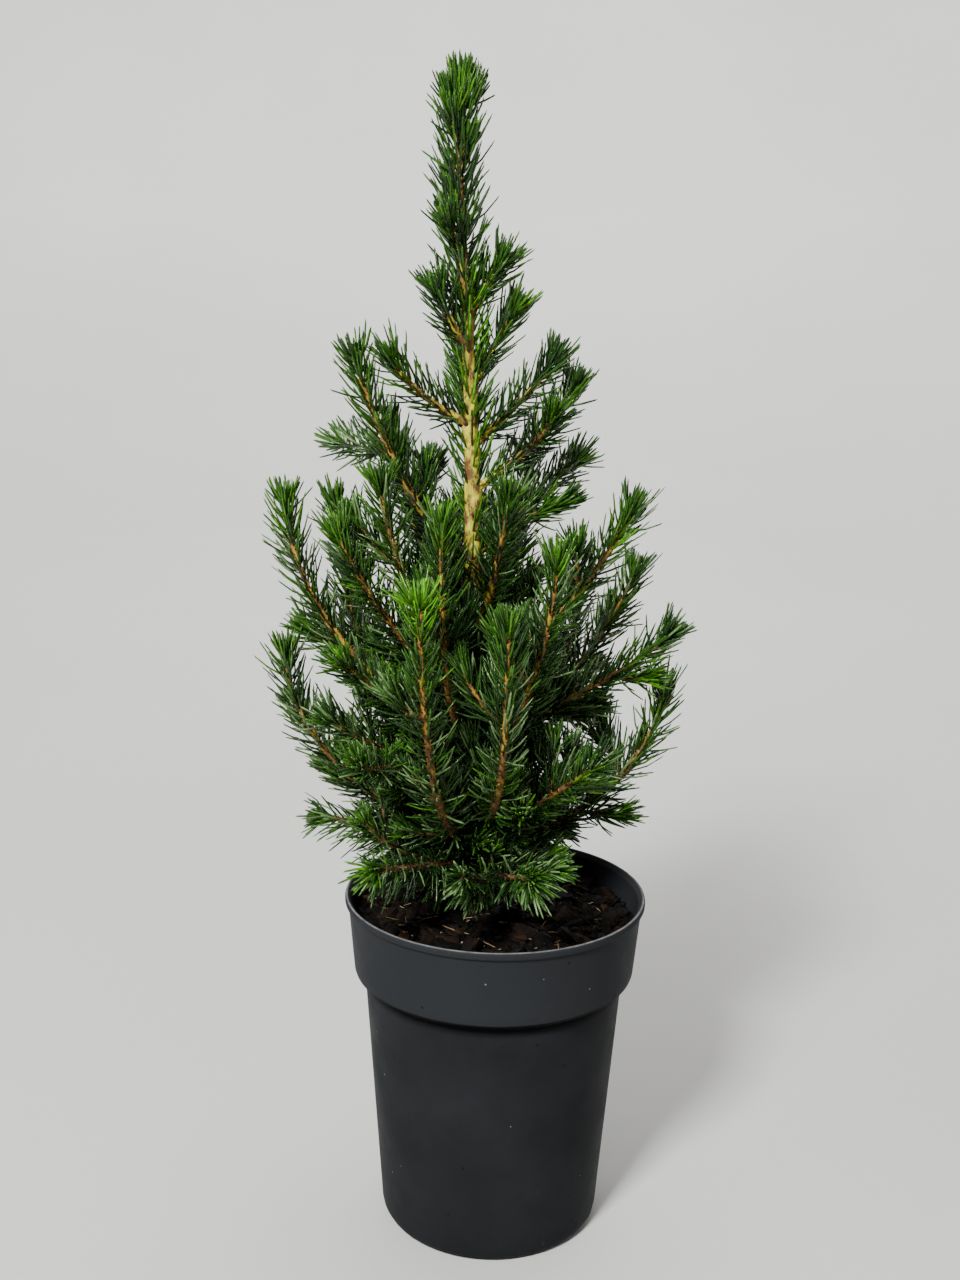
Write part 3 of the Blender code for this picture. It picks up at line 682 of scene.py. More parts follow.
def spindle(rings, sides, root, tip=1.0):
    """A closed shape of a few faces along Z, from its root point through (place, width) rings."""
    points = [(0.0, 0.0, root)]
    for place, width in rings:
        for side in range(sides):
            angle = math.tau * side / sides
            points.append((0.5 * width * math.cos(angle), 0.5 * width * math.sin(angle), place))
    points.append((0.0, 0.0, tip))
    last = len(points) - 1
    triangles, quads = [], []
    for side in range(sides):
        after = (side + 1) % sides
        triangles.append((0, 1 + after, 1 + side))
        top = 1 + (len(rings) - 1) * sides
        triangles.append((last, top + side, top + after))
        for ring_start in range(1, top, sides):
            low, high = ring_start, ring_start + sides
            quads.append((low + side, low + after, high + after, high + side))
    return np.array(points), [np.array(triangles), np.array(quads).reshape(-1, 4)]


def scatter(template, faces, frames, places, bends=None):
    """Copies of a small shape, each under its own three axes, as one array of points and faces."""
    points = np.einsum("vk,nkj->nvj", template, frames) + places[:, None]
    if bends is not None:
        points += (template[:, 2] ** 2)[None, :, None] * bends[:, None]
    steps = np.arange(len(places)) * len(template)
    spread = [(part[None] + steps[:, None, None]).reshape(-1, part.shape[1]) for part in faces]
    return points.reshape(-1, 3), spread


def unit(vectors):
    return vectors / np.maximum(np.linalg.norm(vectors, axis=-1, keepdims=True), 1e-9)


def tinted(colour, factor):
    """A colour made lighter or darker by a factor."""
    return tuple(factor * part for part in colour)


def around_z(degrees):
    """The level direction at an angle from +X."""
    angle = math.radians(degrees)
    return np.array([math.cos(angle), math.sin(angle), 0.0])


# Tree plan, by the rule that the solids follow


def trunk_at(height):
    """Centre and radius of the trunk at a height above the soil, eased between the line's points."""
    heights, across, back, radii = zip(*TRUNK_LINE)
    eased = [height - TRUNK_EASING, height, height + TRUNK_EASING]
    x, y, radius = (float(np.mean(np.interp(eased, heights, column))) for column in (across, back, radii))
    return np.array([x, y, SOIL_TOP + height]), radius


def bark_at(height):
    """Centre of the trunk and the most that its bark reaches out there, root swellings included."""
    centre, radius = trunk_at(height)
    return centre, radius + (1 + FLARE_LOBE) * FLARE * math.exp(-height / FLARE_HEIGHT)


def resample(points, step):
    """The same line with evenly spaced points, about a step apart."""
    lengths = np.concatenate([[0.0], np.cumsum(np.linalg.norm(np.diff(points, axis=0), axis=1))])
    count = max(2, int(round(lengths[-1] / step)))
    places = np.linspace(0.0, lengths[-1], count + 1)
    return np.stack([np.interp(places, lengths, points[:, axis]) for axis in range(3)], axis=1)


def sweep_line(start, end, sweep, sway=0.0):
    """A line that leaves its start outwards and turns up towards its end."""
    t = np.linspace(0.0, 1.0, SWEEP_POINTS)[:, None]
    out = (end - start) * [1.0, 1.0, 0.0]
    up = (end - start) * [0.0, 0.0, 1.0]
    aside = np.array([-out[1], out[0], 0.0]) / max(np.linalg.norm(out), 1e-6)
    line = start + out * (1 - (1 - t) ** sweep) + up * t**sweep
    return line + aside * sway * np.sin(math.pi * t * SWAY_TURNS)


def place_at(foot, heading, reach, tip):
    """The point at a heading and reach from the trunk's centre at the foot, at the tip's height."""
    centre, _ = trunk_at(foot)
    return np.array([centre[0], centre[1], SOIL_TOP + tip]) + reach * around_z(heading)


def clear_of_trunk(line, radius):
    """Cuts off the part of a line that lies in the trunk or less than the gap from its bark."""
    for index, point in enumerate(line[:-1]):
        centre, bark = bark_at(point[2] - SOIL_TOP)
        ahead = line[min(index + LOOK_AHEAD, len(line) - 1)] - point
        rise = abs(ahead[2]) / np.linalg.norm(ahead)
        if np.linalg.norm((point - centre)[:2]) > bark + GAP + radius * rise:
            return line[index:]
    raise ValueError("a shoot never leaves the trunk")


def split_line(line, length):
    """The line up to a length, and the rest of it from the gap on."""
    fine = resample(line, FINEST_STEP)
    walked = np.concatenate([[0.0], np.cumsum(np.linalg.norm(np.diff(fine, axis=0), axis=1))])
    return fine[walked <= length], fine[walked >= length + GAP]


def nearest(points, segments):
    """Distance from each point to the nearest of some segments, given as (count, 2, 3)."""
    start = segments[:, 0]
    along = segments[:, 1] - start
    to_points = points[:, None, :] - start
    share = (to_points * along).sum(-1) / np.maximum((along * along).sum(-1), 1e-9)
    share = np.clip(share, 0.0, 1.0)[..., None]
    return np.linalg.norm(to_points - share * along, axis=-1).min(axis=1)


def segments_of(points):
    return np.stack([points[:-1], points[1:]], axis=1)


def all_segments(stems):
    return np.concatenate([segments_of(stem.points) for stem in stems])


def twig_line(root, ahead, side, roll, lean, length, lift):
    """A line that leans out from its stem, rolled round it from a side, and ends a little lifted."""
    away = math.cos(roll) * side + math.sin(roll) * np.cross(side, ahead)
    tip = root + length * (math.cos(lean) * ahead + math.sin(lean) * away)
    tip[2] += lift * length
    return sweep_line(root, tip, TWIG_SWEEP)


def trial_twig(line, share, to_left, chance):
    """A short side twig that leaves a line at a share of its length and lifts its tip a little."""
    index = int(share * (len(line) - 2))
    forward = line[index + 1] - line[index]
    forward /= np.linalg.norm(forward)
    side = np.cross(forward, [0.0, 0.0, 1.0]) * (-1 if to_left else 1)
    side /= np.linalg.norm(side)
    roll = math.radians(chance.uniform(-TWIG_ROLL, TWIG_ROLL))
    lean = math.radians(chance.uniform(*TWIG_LEAN))
    length = chance.uniform(*TWIG_LENGTH) * (TWIG_SHORTER[0] - TWIG_SHORTER[1] * share)
    return resample(twig_line(line[index], forward, side, roll, lean, length, TWIG_LIFT), FINE_STEP)


def plan_twigs(shoot, line, stems, chance):
    """Side twigs, to the left and right in turn, where they stay clear of every other stem."""
    twigs = []
    others = all_segments([stem for stem in stems if stem.owner != shoot.name])
    for number in range(shoot.twigs):
        own = all_segments([stem for stem in stems + twigs if stem.owner == shoot.name])
        for _ in range(TWIG_TRIES):
            share = TWIG_SPAN[0] + TWIG_SPAN[1] * (number + chance.random()) / shoot.twigs
            twig = trial_twig(line, share, number % 2 == 1, chance)
            outer_half = twig[len(twig) // 2 :]
            clear_of_others = nearest(twig[2:], others).min() > TWIG_CLEAR
            clear_of_own = nearest(outer_half, own).min() > OWN_CLEAR * TWIG_CLEAR
            if clear_of_others and clear_of_own and twig[:, 2].min() > SOIL_TOP + TWIG_OVER_SOIL:
                twigs.append(Stem(shoot.name, twig, TWIG_RADII, TWIG_SIDES))
                break
    return twigs


def plan_shoot(shoot, chance):
    """A shoot's bough, if it has one, and the main stem of its mass."""
    start, _ = trunk_at(shoot.foot)
    end = place_at(shoot.foot, shoot.heading, shoot.reach, shoot.tip)
    sway = chance.uniform(-SWAY, SWAY) * shoot.reach
    line = resample(sweep_line(start, end, shoot.sweep, sway), LINE_STEP)
    limbs = []
    if shoot.bare:
        line = clear_of_trunk(line, LIMB_RADII[0])
        limb, line = split_line(line, shoot.bare)
        limbs.append(Stem(shoot.name, resample(limb, LIMB_RING_STEP), LIMB_RADII, LIMB_SIDES))
    else:
        line = clear_of_trunk(line, CORE_RADII[0])
    return limbs, Stem(shoot.name, resample(line, FINE_STEP), CORE_RADII, CORE_SIDES)


def plan_sleeve(sleeve):
    """The line of the trunk that a sleeve is round, and the stem of its side tuft."""
    axis = np.array([trunk_at(height)[0] for height in np.linspace(sleeve.foot, sleeve.top, 12)])
    tip = place_at(sleeve.tuft_at, sleeve.tuft_heading, sleeve.tuft_reach, sleeve.tuft_tip)
    tuft = resample(sweep_line(trunk_at(sleeve.tuft_at)[0], tip, 1.0), 1.0)
    tuft = clear_of_trunk(tuft, TWIG_RADII[0])
    return [Stem(sleeve.name, axis, (0.0, 0.0), 0), Stem(sleeve.name, tuft, TWIG_RADII, TWIG_SIDES)]


@functools.cache
def plan_tree():
    """Every limb and every stem of the solids, in the order in which the seeded rule finds them."""
    chance = random.Random(SEED)
    limbs = []
    stems = []
    mains = {}
    for shoot in SHOOTS:
        bough, main = plan_shoot(shoot, chance)
        limbs += bough
        stems.append(main)
        mains[shoot.name] = (shoot, main.points)
    for sleeve in SLEEVES:
        stems += plan_sleeve(sleeve)
    for fork in FORKS:
        shoot, line = mains[fork.shoot]
        start = line[int(fork.at * (len(line) - 1))]
        tip = place_at(shoot.foot, fork.heading, fork.reach, fork.tip)
        points = resample(sweep_line(start, tip, FORK_SWEEP), FINE_STEP)
        stems.append(Stem(fork.shoot, points, FORK_RADII, TWIG_SIDES))
    for shoot, line in mains.values():
        stems += plan_twigs(shoot, line, stems + limbs, chance)
    return limbs, stems


# What a needle-bearing stem is in the dressed tree: a line that starts inside whatever carries it.
# Its points lie a millimetre apart, so that their number gives its length.
Sprig = namedtuple("Sprig", "owner kind points radii")
SPRIG_STEP = 1.0


def whole_shoot(main, limbs):
    """A shoot's line from inside the trunk, over its bough, to its tip, and its radii."""
    bough = next((limb for limb in limbs if limb.owner == main.owner), None)
    line = np.concatenate([bough.points, main.points]) if bough else main.points
    shoot = next(shoot for shoot in SHOOTS if shoot.name == main.owner)
    start, _ = trunk_at(shoot.foot)
    line = resample(np.concatenate([[start], line]), SPRIG_STEP)
    line = line[: len(line) - TRIMMED.get(main.owner, 0)]
    radii = (LIMB_RADII[0] if bough else CORE_RADII[0] + ROOT_SWELL, CORE_RADII[1] - TIP_THINNER)
    return Sprig(main.owner, "shoot", line, radii)


def fills_crown(tip):
    """Whether an inner twig may end at a point: inside the full part of the crown, off the bare trunk."""
    height = tip[2] - SOIL_TOP
    aside = tip - trunk_at(height)[0]
    low, high, bare = BARE_TRUNK
    hides_trunk = low < height < high and abs(aside[0]) < bare and aside[1] < 0
    away = np.hypot(aside[0], aside[1])
    wider = 1.0 + (np.interp(height, *zip(*FILL_ASIDE)) - 1.0) * abs(aside[0]) / away
    room = np.interp(height, *zip(*FILL)) * wider
    return height > INNER_OVER_SOIL and away < room and not hides_trunk


def inner_twig(owner, root, ahead, turn, length, chance):
    """A short fine twig that leaves its root at an angle and lifts its tip, if it has room."""
    side = unit(np.cross(ahead, [0.3, 0.2, 1.0]))
    lean = math.radians(chance.uniform(*INNER_LEAN))
    line = twig_line(root, ahead, side, turn, lean, length, INNER_LIFT)
    if not fills_crown(line[-1]):
        return []
    return [Sprig(owner, "inner", resample(line, SPRIG_STEP), INNER_RADII)]


def plan_inner(sprigs, chance):
    """Inner twigs from every shoot and side twig, and from the lower trunk."""
    twigs = []
    for sprig in sprigs:
        turn = chance.uniform(0.0, math.tau)
        size = len(sprig.points)
        for index in range(int(INNER_SPAN[0] * size), int(INNER_SPAN[1] * size), INNER_STEP):
            turn += GOLDEN_ANGLE
            ahead = unit(sprig.points[index + 1] - sprig.points[index])
            length = chance.uniform(*INNER_LENGTH) * (INNER_SHORTER[0] - INNER_SHORTER[1] * index / size)
            twigs += inner_twig(sprig.owner, sprig.points[index], ahead, turn, length, chance)
    turn = 0.0
    for height in np.arange(*TRUNK_TWIG_HEIGHTS, TRUNK_TWIG_STEP):
        turn += GOLDEN_ANGLE
        length = chance.uniform(*TRUNK_TWIG_LENGTH)
        root, _ = trunk_at(height)
        twigs += inner_twig("trunk", root, np.array([0.0, 0.0, 1.0]), turn, length, chance)
    return twigs


def leader_tufts():
    """Very short twigs on the leader, whose needles make small upright brushes."""
    tufts = []
    for height, heading, reach in LEADER_TUFTS:
        root, radius = trunk_at(height)
        aside = around_z(heading) * (radius + reach)
        bend, end = ([0.0, 0.0, rise] for rise in LEADER_TUFT_RISE)
        line = np.array([root, root + aside * LEADER_TUFT_BEND + bend, root + aside + end])
        tufts.append(Sprig("leader_top", "tuft", resample(line, SPRIG_STEP), LEADER_TUFT_RADII))
    return tufts


@functools.cache
def plan_sprigs():
    """Every stem of the dressed tree: whole shoots, forks and twigs as in the solids, and inner twigs."""
    limbs, stems = plan_tree()
    shoots = [whole_shoot(stem, limbs) for stem in stems if stem.sides == CORE_SIDES]
    twigs = [stem for stem in stems if stem.sides == TWIG_SIDES]
    side = [Sprig(stem.owner, "twig", resample(stem.points, SPRIG_STEP), stem.radii) for stem in twigs]
    return shoots + side + leader_tufts() + plan_inner(shoots + side, random.Random(SEED + 1))


def frames_along(points):
    """Two axes across a line at each point, which don't twist, and its direction."""
    ahead = unit(np.gradient(points, axis=0))
    side = unit(np.cross([0.31, 0.17, 1.0], ahead[0]))
    sides = []
    for direction in ahead:
        side = unit(side - side.dot(direction) * direction)
        sides.append(side)
    sides = np.array(sides)
    return sides, np.cross(ahead, sides), ahead


def tube(points, radii, sides):
    """Points, quads, end triangles and spokes of a closed tube, with a radius for each line point."""
    across, over, _ = frames_along(points)
    angles = np.linspace(0.0, math.tau, sides, endpoint=False)
    spokes = np.cos(angles)[None, :, None] * across[:, None] + np.sin(angles)[None, :, None] * over[:, None]
    rings = points[:, None] + spokes * np.asarray(radii)[:, None, None]
    ends = np.stack([points[0], points[-1]])
    around = np.arange(sides)
    after = (around + 1) % sides
    low = np.arange(len(points) - 1)[:, None] * sides
    high = low + sides
    quads = np.stack([low + around, low + after, high + after, high + around], -1)
    first, last = len(points) * sides, len(points) * sides + 1
    top = (len(points) - 1) * sides
    fans = [(first, after[k], around[k]) for k in around]
    fans += [(last, top + around[k], top + after[k]) for k in around]
    everything = np.concatenate([rings.reshape(-1, 3), ends])
    return everything, quads.reshape(-1, 4), np.array(fans), spokes.reshape(-1, 3)


# Materials


class Graph:
    """A node tree being built. An input is given as a value, or as the output that feeds it."""

    def __init__(self, tree):
        self.tree = tree

    def add(self, kind, inputs=None, **settings):
        made = self.tree.nodes.new(kind)
        for name, value in settings.items():
            setattr(made, name, value)
        for name, value in (inputs or {}).items():
            socket = made.inputs[name]
            if isinstance(value, bpy.types.NodeSocket):
                self.tree.links.new(value, socket)
            elif socket.type == "RGBA" and len(value) == 3:
                socket.default_value = (*value, 1.0)
            else:
                socket.default_value = value
        return made

    def link(self, sockets, **outputs):
        """Feeds named sockets, such as those of a shader or of a group's end."""
        for name, output in outputs.items():
            self.tree.links.new(output, sockets[name.replace("_", " ")])

    def use(self, group, **inputs):
        """The outputs of a node group that is given its inputs by name."""
        named = {name.replace("_", " "): value for name, value in inputs.items()}
        return self.add("ShaderNodeGroup", named, node_tree=group).outputs

    def axes(self, vector):
        return self.add("ShaderNodeSeparateXYZ", {0: vector}).outputs

    def math(self, operation, first, second=0.0, clamp=False):
        inputs = {0: first, 1: second}
        return self.add("ShaderNodeMath", inputs, operation=operation, use_clamp=clamp).outputs[0]

    def plus(self, first, second):
        return self.math("ADD", first, second)

    def times(self, first, second):
        return self.math("MULTIPLY", first, second)

    def distance(self, x, y):
        """How far a place is from the axis, from its two level parts."""
        return self.math("SQRT", self.plus(self.math("POWER", x, 2.0), self.math("POWER", y, 2.0)))

    def blend(self, share, low, high):
        """A colour between two others."""
        made = self.add("ShaderNodeMix", {0: share, 6: low, 7: high}, data_type="RGBA")
        return made.outputs[2]

    def scaled(self, colour, factor):
        """A colour made lighter or darker."""
        inputs = {0: colour, "Scale": factor}
        return self.add("ShaderNodeVectorMath", inputs, operation="SCALE").outputs[0]

    def ramp(self, value, low, high, to_low=0.0, to_high=1.0):
        """A value rescaled from one range to another, and kept inside it."""
        inputs = {"Value": value, "From Min": low, "From Max": high, "To Min": to_low, "To Max": to_high}
        return self.add("ShaderNodeMapRange", inputs).outputs[0]

    def noise(self, vector, scale, detail=3.0, rough=0.55):
        inputs = {"Vector": vector, "Scale": scale, "Detail": detail, "Roughness": rough}
        return self.add("ShaderNodeTexNoise", inputs).outputs["Fac"]

    def clouds(self, vector, scale, detail, low, high, edges=(0.3, 0.7), rough=0.55):
        """Soft noise between a low and a high value."""
        return self.ramp(self.noise(vector, scale, detail, rough), *edges, low, high)

    def stretched(self, vector, scale):
        return self.add("ShaderNodeMapping", {"Vector": vector, "Scale": scale}).outputs[0]

    def bump(self, height, distance, strength):
        inputs = {"Height": height, "Distance": distance, "Strength": strength}
        return self.add("ShaderNodeBump", inputs).outputs[0]


def new_group(name, inputs, outputs):
    """An empty node group with its sockets, its graph, its input node and its output node."""
    tree = bpy.data.node_groups.new(name, "ShaderNodeTree")
    kinds = {"vector": "NodeSocketVector", "value": "NodeSocketFloat", "colour": "NodeSocketColor"}
    for label, kind in inputs:
        tree.interface.new_socket(label, in_out="INPUT", socket_type=kinds[kind])
    for label, kind in outputs:
        tree.interface.new_socket(label, in_out="OUTPUT", socket_type=kinds[kind])
    graph = Graph(tree)
    return graph, graph.add("NodeGroupInput").outputs, graph.add("NodeGroupOutput").inputs


@functools.cache
def dots_group():
    """Scattered small dots: Mask is 1 in a dot, for the given share of cells, and 0 elsewhere."""
    graph, given, out = new_group(
        "dots", [("Vector", "vector"), ("Scale", "value"), ("Size", "value"), ("Share", "value")],
        [("Mask", "value")],
    )
    cells = graph.add("ShaderNodeTexVoronoi", {"Vector": given["Vector"], "Scale": given["Scale"]})
    inside = graph.math("LESS_THAN", cells.outputs["Distance"], given["Size"])
    pick = graph.add("ShaderNodeSeparateColor", {"Color": cells.outputs["Color"]}).outputs[0]
    picked = graph.math("LESS_THAN", pick, given["Share"])
    graph.link(out, Mask=graph.times(inside, picked))
    return graph.tree


@functools.cache
def bark_group():
    """Flaky bark: its colour between two, its roughness, and the height of its ridges."""
    graph, given, out = new_group(
        "bark",
        [("Vector", "vector"), ("Pale", "colour"), ("Brown", "colour"), ("Patches", "value"),
         ("Brown share", "value")],
        [("Color", "colour"), ("Roughness", "value"), ("Height", "value")],
    )
    where, scale = given["Vector"], given["Patches"]
    patches = graph.noise(graph.stretched(where, (1.0, 1.0, 0.5)), scale, 6.0, 0.7)
    low = graph.math("SUBTRACT", 0.92, given["Brown share"])
    brown = graph.ramp(patches, graph.math("SUBTRACT", low, 0.1), graph.plus(low, 0.07))
    broad = graph.clouds(where, graph.times(scale, 0.45), 3.0, 0.0, 0.34, edges=(0.44, 0.66))
    brown = graph.math("ADD", brown, broad, clamp=True)
    fine = graph.noise(graph.stretched(where, (1.0, 1.0, 0.3)), 1900.0, 3.0, 0.6)
    colour = graph.blend(brown, given["Pale"], given["Brown"])
    colour = graph.scaled(colour, graph.ramp(fine, 0.3, 0.75, 0.6, 1.25))
    height = graph.plus(fine, graph.times(brown, -0.4))
    graph.link(out, Color=colour, Roughness=graph.ramp(fine, 0.2, 0.8, 0.62, 0.88), Height=height)
    return graph.tree


@functools.cache
def needle_group():
    """The small change of tone from needle to needle, and their uneven waxy gloss."""
    graph, given, out = new_group(
        "needle tone", [("Vector", "vector"), ("Tint", "colour")],
        [("Color", "colour"), ("Roughness", "value")],
    )
    where = given["Vector"]
    colour = graph.scaled(given["Tint"], graph.clouds(where, 420.0, 2.0, 0.62, 1.5))
    graph.link(out, Color=colour, Roughness=graph.clouds(where, 900.0, 2.0, 0.18, 0.32))
    return graph.tree


def new_material(name, colour, roughness):
    """A material with its graph, its shader, and the object coordinates of the piece that wears it."""
    material = bpy.data.materials.new(name)
    material.use_nodes = True
    material.diffuse_color = (*colour, 1.0)
    graph = Graph(material.node_tree)
    shader = material.node_tree.nodes["Principled BSDF"]
    shader.inputs["Base Color"].default_value = (*colour, 1.0)
    shader.inputs["Roughness"].default_value = roughness
    where = graph.add("ShaderNodeTexCoord").outputs["Object"]
    return material, graph, shader, where


def pot_plastic(pot):
    """Moulded charcoal plastic: faint clouding, drag marks, pale and dark specks, a rubbed rim with a
    painted highlight, a collar painted paler as painted light, and painted shade below the collar.
    """
    material, graph, shader, where = new_material("pot_plastic", pot.plastic, 0.5)
    shader.inputs["Specular IOR Level"].default_value = 0.02
    x, y, height = graph.axes(where)
    rim, top = pot.rim_radius, pot.height
    step = top - COLLAR_DEPTH * MM
    # The rim's outer top edge is lighter: rubbed wear and dust, and a painted highlight along the lip.
    outer_edge = graph.ramp(graph.distance(x, y), rim - 1.25 * MM, rim - 0.95 * MM, 0.12, 1.0)
    near_rim = graph.times(outer_edge, graph.ramp(height, top - 0.45 * MM, top - 0.15 * MM))
    rubbed_and_highlit = graph.times(near_rim, graph.clouds(where, 160.0, 4.0, 0.25, 1.0, edges=(0.3, 0.75)))
    drag = graph.noise(graph.stretched(where, (1.0, 1.0, 0.06)), 700.0, 4.0, 0.7)
    dragged_places = graph.clouds(where, 14.0, 3.0, 0.0, 1.0, edges=(0.5, 0.7))
    marks = graph.times(graph.ramp(drag, 0.66, 0.78), dragged_places)
    pale = graph.use(dots_group(), Vector=where, **PALE_SPECKS)["Mask"]
    dark = graph.use(dots_group(), Vector=where, **DARK_SPECKS)["Mask"]
    # The collar is painted paler than the wall: painted light on the pot's top band.
    on_collar = graph.ramp(height, step - COLLAR_STEP * MM, step)
    # Painted shade: a dark band on the wall just below the collar's edge.
    low, high = (step - reach * MM for reach in COLLAR_PAINTED_SHADE_REACH)
    painted_shade = graph.times(graph.ramp(height, low, high), graph.ramp(height, step, step - COLLAR_STEP * MM))
    colour = graph.scaled(tuple(pot.plastic), graph.clouds(where, 26.0, 4.0, 0.82, 1.2))
    layers = (
        (on_collar, 0.8, tinted(pot.plastic, COLLAR_PAINTED_LIGHT)),
        (painted_shade, 0.9, COLLAR_PAINTED_SHADE),
        (rubbed_and_highlit, 1.0, tuple(pot.worn_and_highlight)),
        (marks, 0.3, tuple(pot.worn_and_highlight)),
        (pale, 0.6, PALE_SPECK),
        (dark, 0.7, DARK_SPECK),
    )
    for mask, most, over in layers:
        colour = graph.blend(graph.times(mask, most), colour, over)
    rough = graph.clouds(where, 60.0, 5.0, 0.42, 0.6, edges=(0.25, 0.75), rough=0.65)
    grain = graph.plus(graph.noise(where, 1500.0, 2.0), graph.times(marks, -0.6))
    graph.link(shader.inputs, Base_Color=colour, Roughness=rough, Normal=graph.bump(grain, 0.00006, 0.6))
    return material


def soil_material(name, colour, glint_share):
    """Damp crumbs: uneven tone with fine grit, and here and there a pale mineral fleck that is also a
    painted glint.
    """
    material, graph, shader, where = new_material(name, colour, 0.85)
    shader.inputs["Specular IOR Level"].default_value = 0.1
    base = graph.scaled(tuple(colour), graph.clouds(where, 330.0, 5.0, 0.45, 1.7, (0.28, 0.72), 0.65))
    # Pale dots: mineral flecks, which also serve as painted glints.
    fleck_and_glint = graph.use(dots_group(), Vector=where, Scale=900.0, Size=0.22, Share=glint_share)["Mask"]
    normal = graph.bump(graph.noise(where, 1400.0, 4.0, 0.7), 0.0003, 0.8)
    graph.link(
        shader.inputs, Base_Color=graph.blend(fleck_and_glint, base, (0.22, 0.18, 0.13)),
        Roughness=graph.clouds(where, 500.0, 2.0, 0.55, 0.95), Normal=normal,
    )
    return material


def bark_material(name, pale, brown, patches, share, pale_stretch=None, heart=None):
    """Bark between a pale and a brown tone.

    A pale stretch is a range of heights with browner bark below and above it, and old bark at the
    foot. A heart is the colour of the bark near the trunk, high in the crown.
    """
    material, graph, shader, where = new_material(name, pale, 0.75)
    x, y, height = graph.axes(where)
    pale, brown = tuple(pale), tuple(brown)
    if heart:
        away = graph.distance(graph.plus(x, -HEART[0]), graph.plus(y, -HEART[1]))
        near = graph.times(graph.ramp(away, *HEART_REACH), graph.ramp(height, *HEART_HEIGHTS))
        share = graph.plus(share, graph.ramp(height, *LOW_HEIGHTS, 0.0, LOW_SHARE))
        brown = graph.blend(graph.ramp(height, *LOW_DARK_HEIGHTS), brown, tinted(brown, LOW_DARK))
        pale = graph.blend(near, pale, tuple(heart))
    if pale_stretch:
        low, high = pale_stretch
        below = graph.ramp(height, low - 0.05, low, 0.24, 0.0)
        above = graph.ramp(height, high, high + 0.03, 0.0, 0.08)
        share = graph.plus(share, graph.plus(below, above))
        furrows = graph.noise(graph.stretched(where, (1.0, 1.0, 0.4)), 380.0)
        old = graph.blend(graph.ramp(furrows, 0.42, 0.6), OLD_BARK_DARK, OLD_BARK_PALE)
        brown = graph.blend(graph.ramp(height, *OLD_BARK_HEIGHTS), brown, old)
    bark = graph.use(
        bark_group(), Vector=where, Pale=pale, Brown=brown, Patches=patches, Brown_share=share
    )
    normal = graph.bump(bark["Height"], 0.0002, 0.7)
    graph.link(shader.inputs, Base_Color=bark["Color"], Roughness=bark["Roughness"], Normal=normal)
    return material


def needle_material(name, tint):
    material, graph, shader, where = new_material(name, tint, 0.42)
    shader.inputs["Specular IOR Level"].default_value = 0.42
    shader.inputs["Specular Tint"].default_value = NEEDLE_SHEEN
    tone = graph.use(needle_group(), Vector=where, Tint=tint)
    graph.link(shader.inputs, Base_Color=tone["Color"], Roughness=tone["Roughness"])
    return material


def stage_material(paint):
    material, graph, shader, where = new_material("stage_paint", paint, 0.9)
    _, _, height = graph.axes(where)
    # The paint is darker on the floor than up the wall: painted shade towards the bottom, with faint random
    # clouding.
    tone = graph.times(graph.clouds(where, 1.6, 2.0, 0.97, 1.03), graph.ramp(height, 0.0, 0.6, 0.78, 1.0))
    graph.link(shader.inputs, Base_Color=graph.scaled(tuple(paint), tone))
    return material


# Pot


def pot_outline(pot):
    """(radius, height) points round the wall, from the underside's edge over the rim to the floor."""
    rim, top = pot.rim_radius / MM, pot.height / MM
    inside_rim = rim - LIP_OVERHANG - WALL
    return [
        (rim - UNDERSIDE_INSET, 0.0),
        (rim - FOOT_INSET - 1.7, 1.5),
        (rim - FOOT_INSET - 0.5, FOOT_ROUND * 0.6),
        (rim - FOOT_INSET, FOOT_ROUND),
        (rim - WAIST_INSET, top - WAIST_DEPTH),
        (rim - WAIST_INSET + 0.3, top - COLLAR_DEPTH - 4.0),
        (rim - WAIST_INSET + 1.0, top - COLLAR_DEPTH - 3.0),
        (rim - COLLAR_INSET - 1.5, top - COLLAR_DEPTH - 2.0),
        (rim - COLLAR_INSET - 0.4, top - COLLAR_DEPTH - 1.2),
        (rim - COLLAR_INSET, top - COLLAR_DEPTH),
        (rim - COLLAR_INSET + 0.4, top - COLLAR_DEPTH + 4.0),
        (rim - LIP_OVERHANG, top - LIP_DEPTH - 0.7),
        (rim - 0.1, top - LIP_DEPTH),
        (rim, top - 1.1),
        (rim - 0.35, top - 0.25),
        (rim - 1.0, top),
        (rim - 1.6, top - 0.3),
        (inside_rim, top - 2.2),
        (rim - COLLAR_INSET - WALL, top - COLLAR_DEPTH + WALL),
        (rim - WAIST_INSET - WALL, top - WAIST_DEPTH + WALL),
        (rim - FOOT_INSET - WALL, FLOOR),
    ]


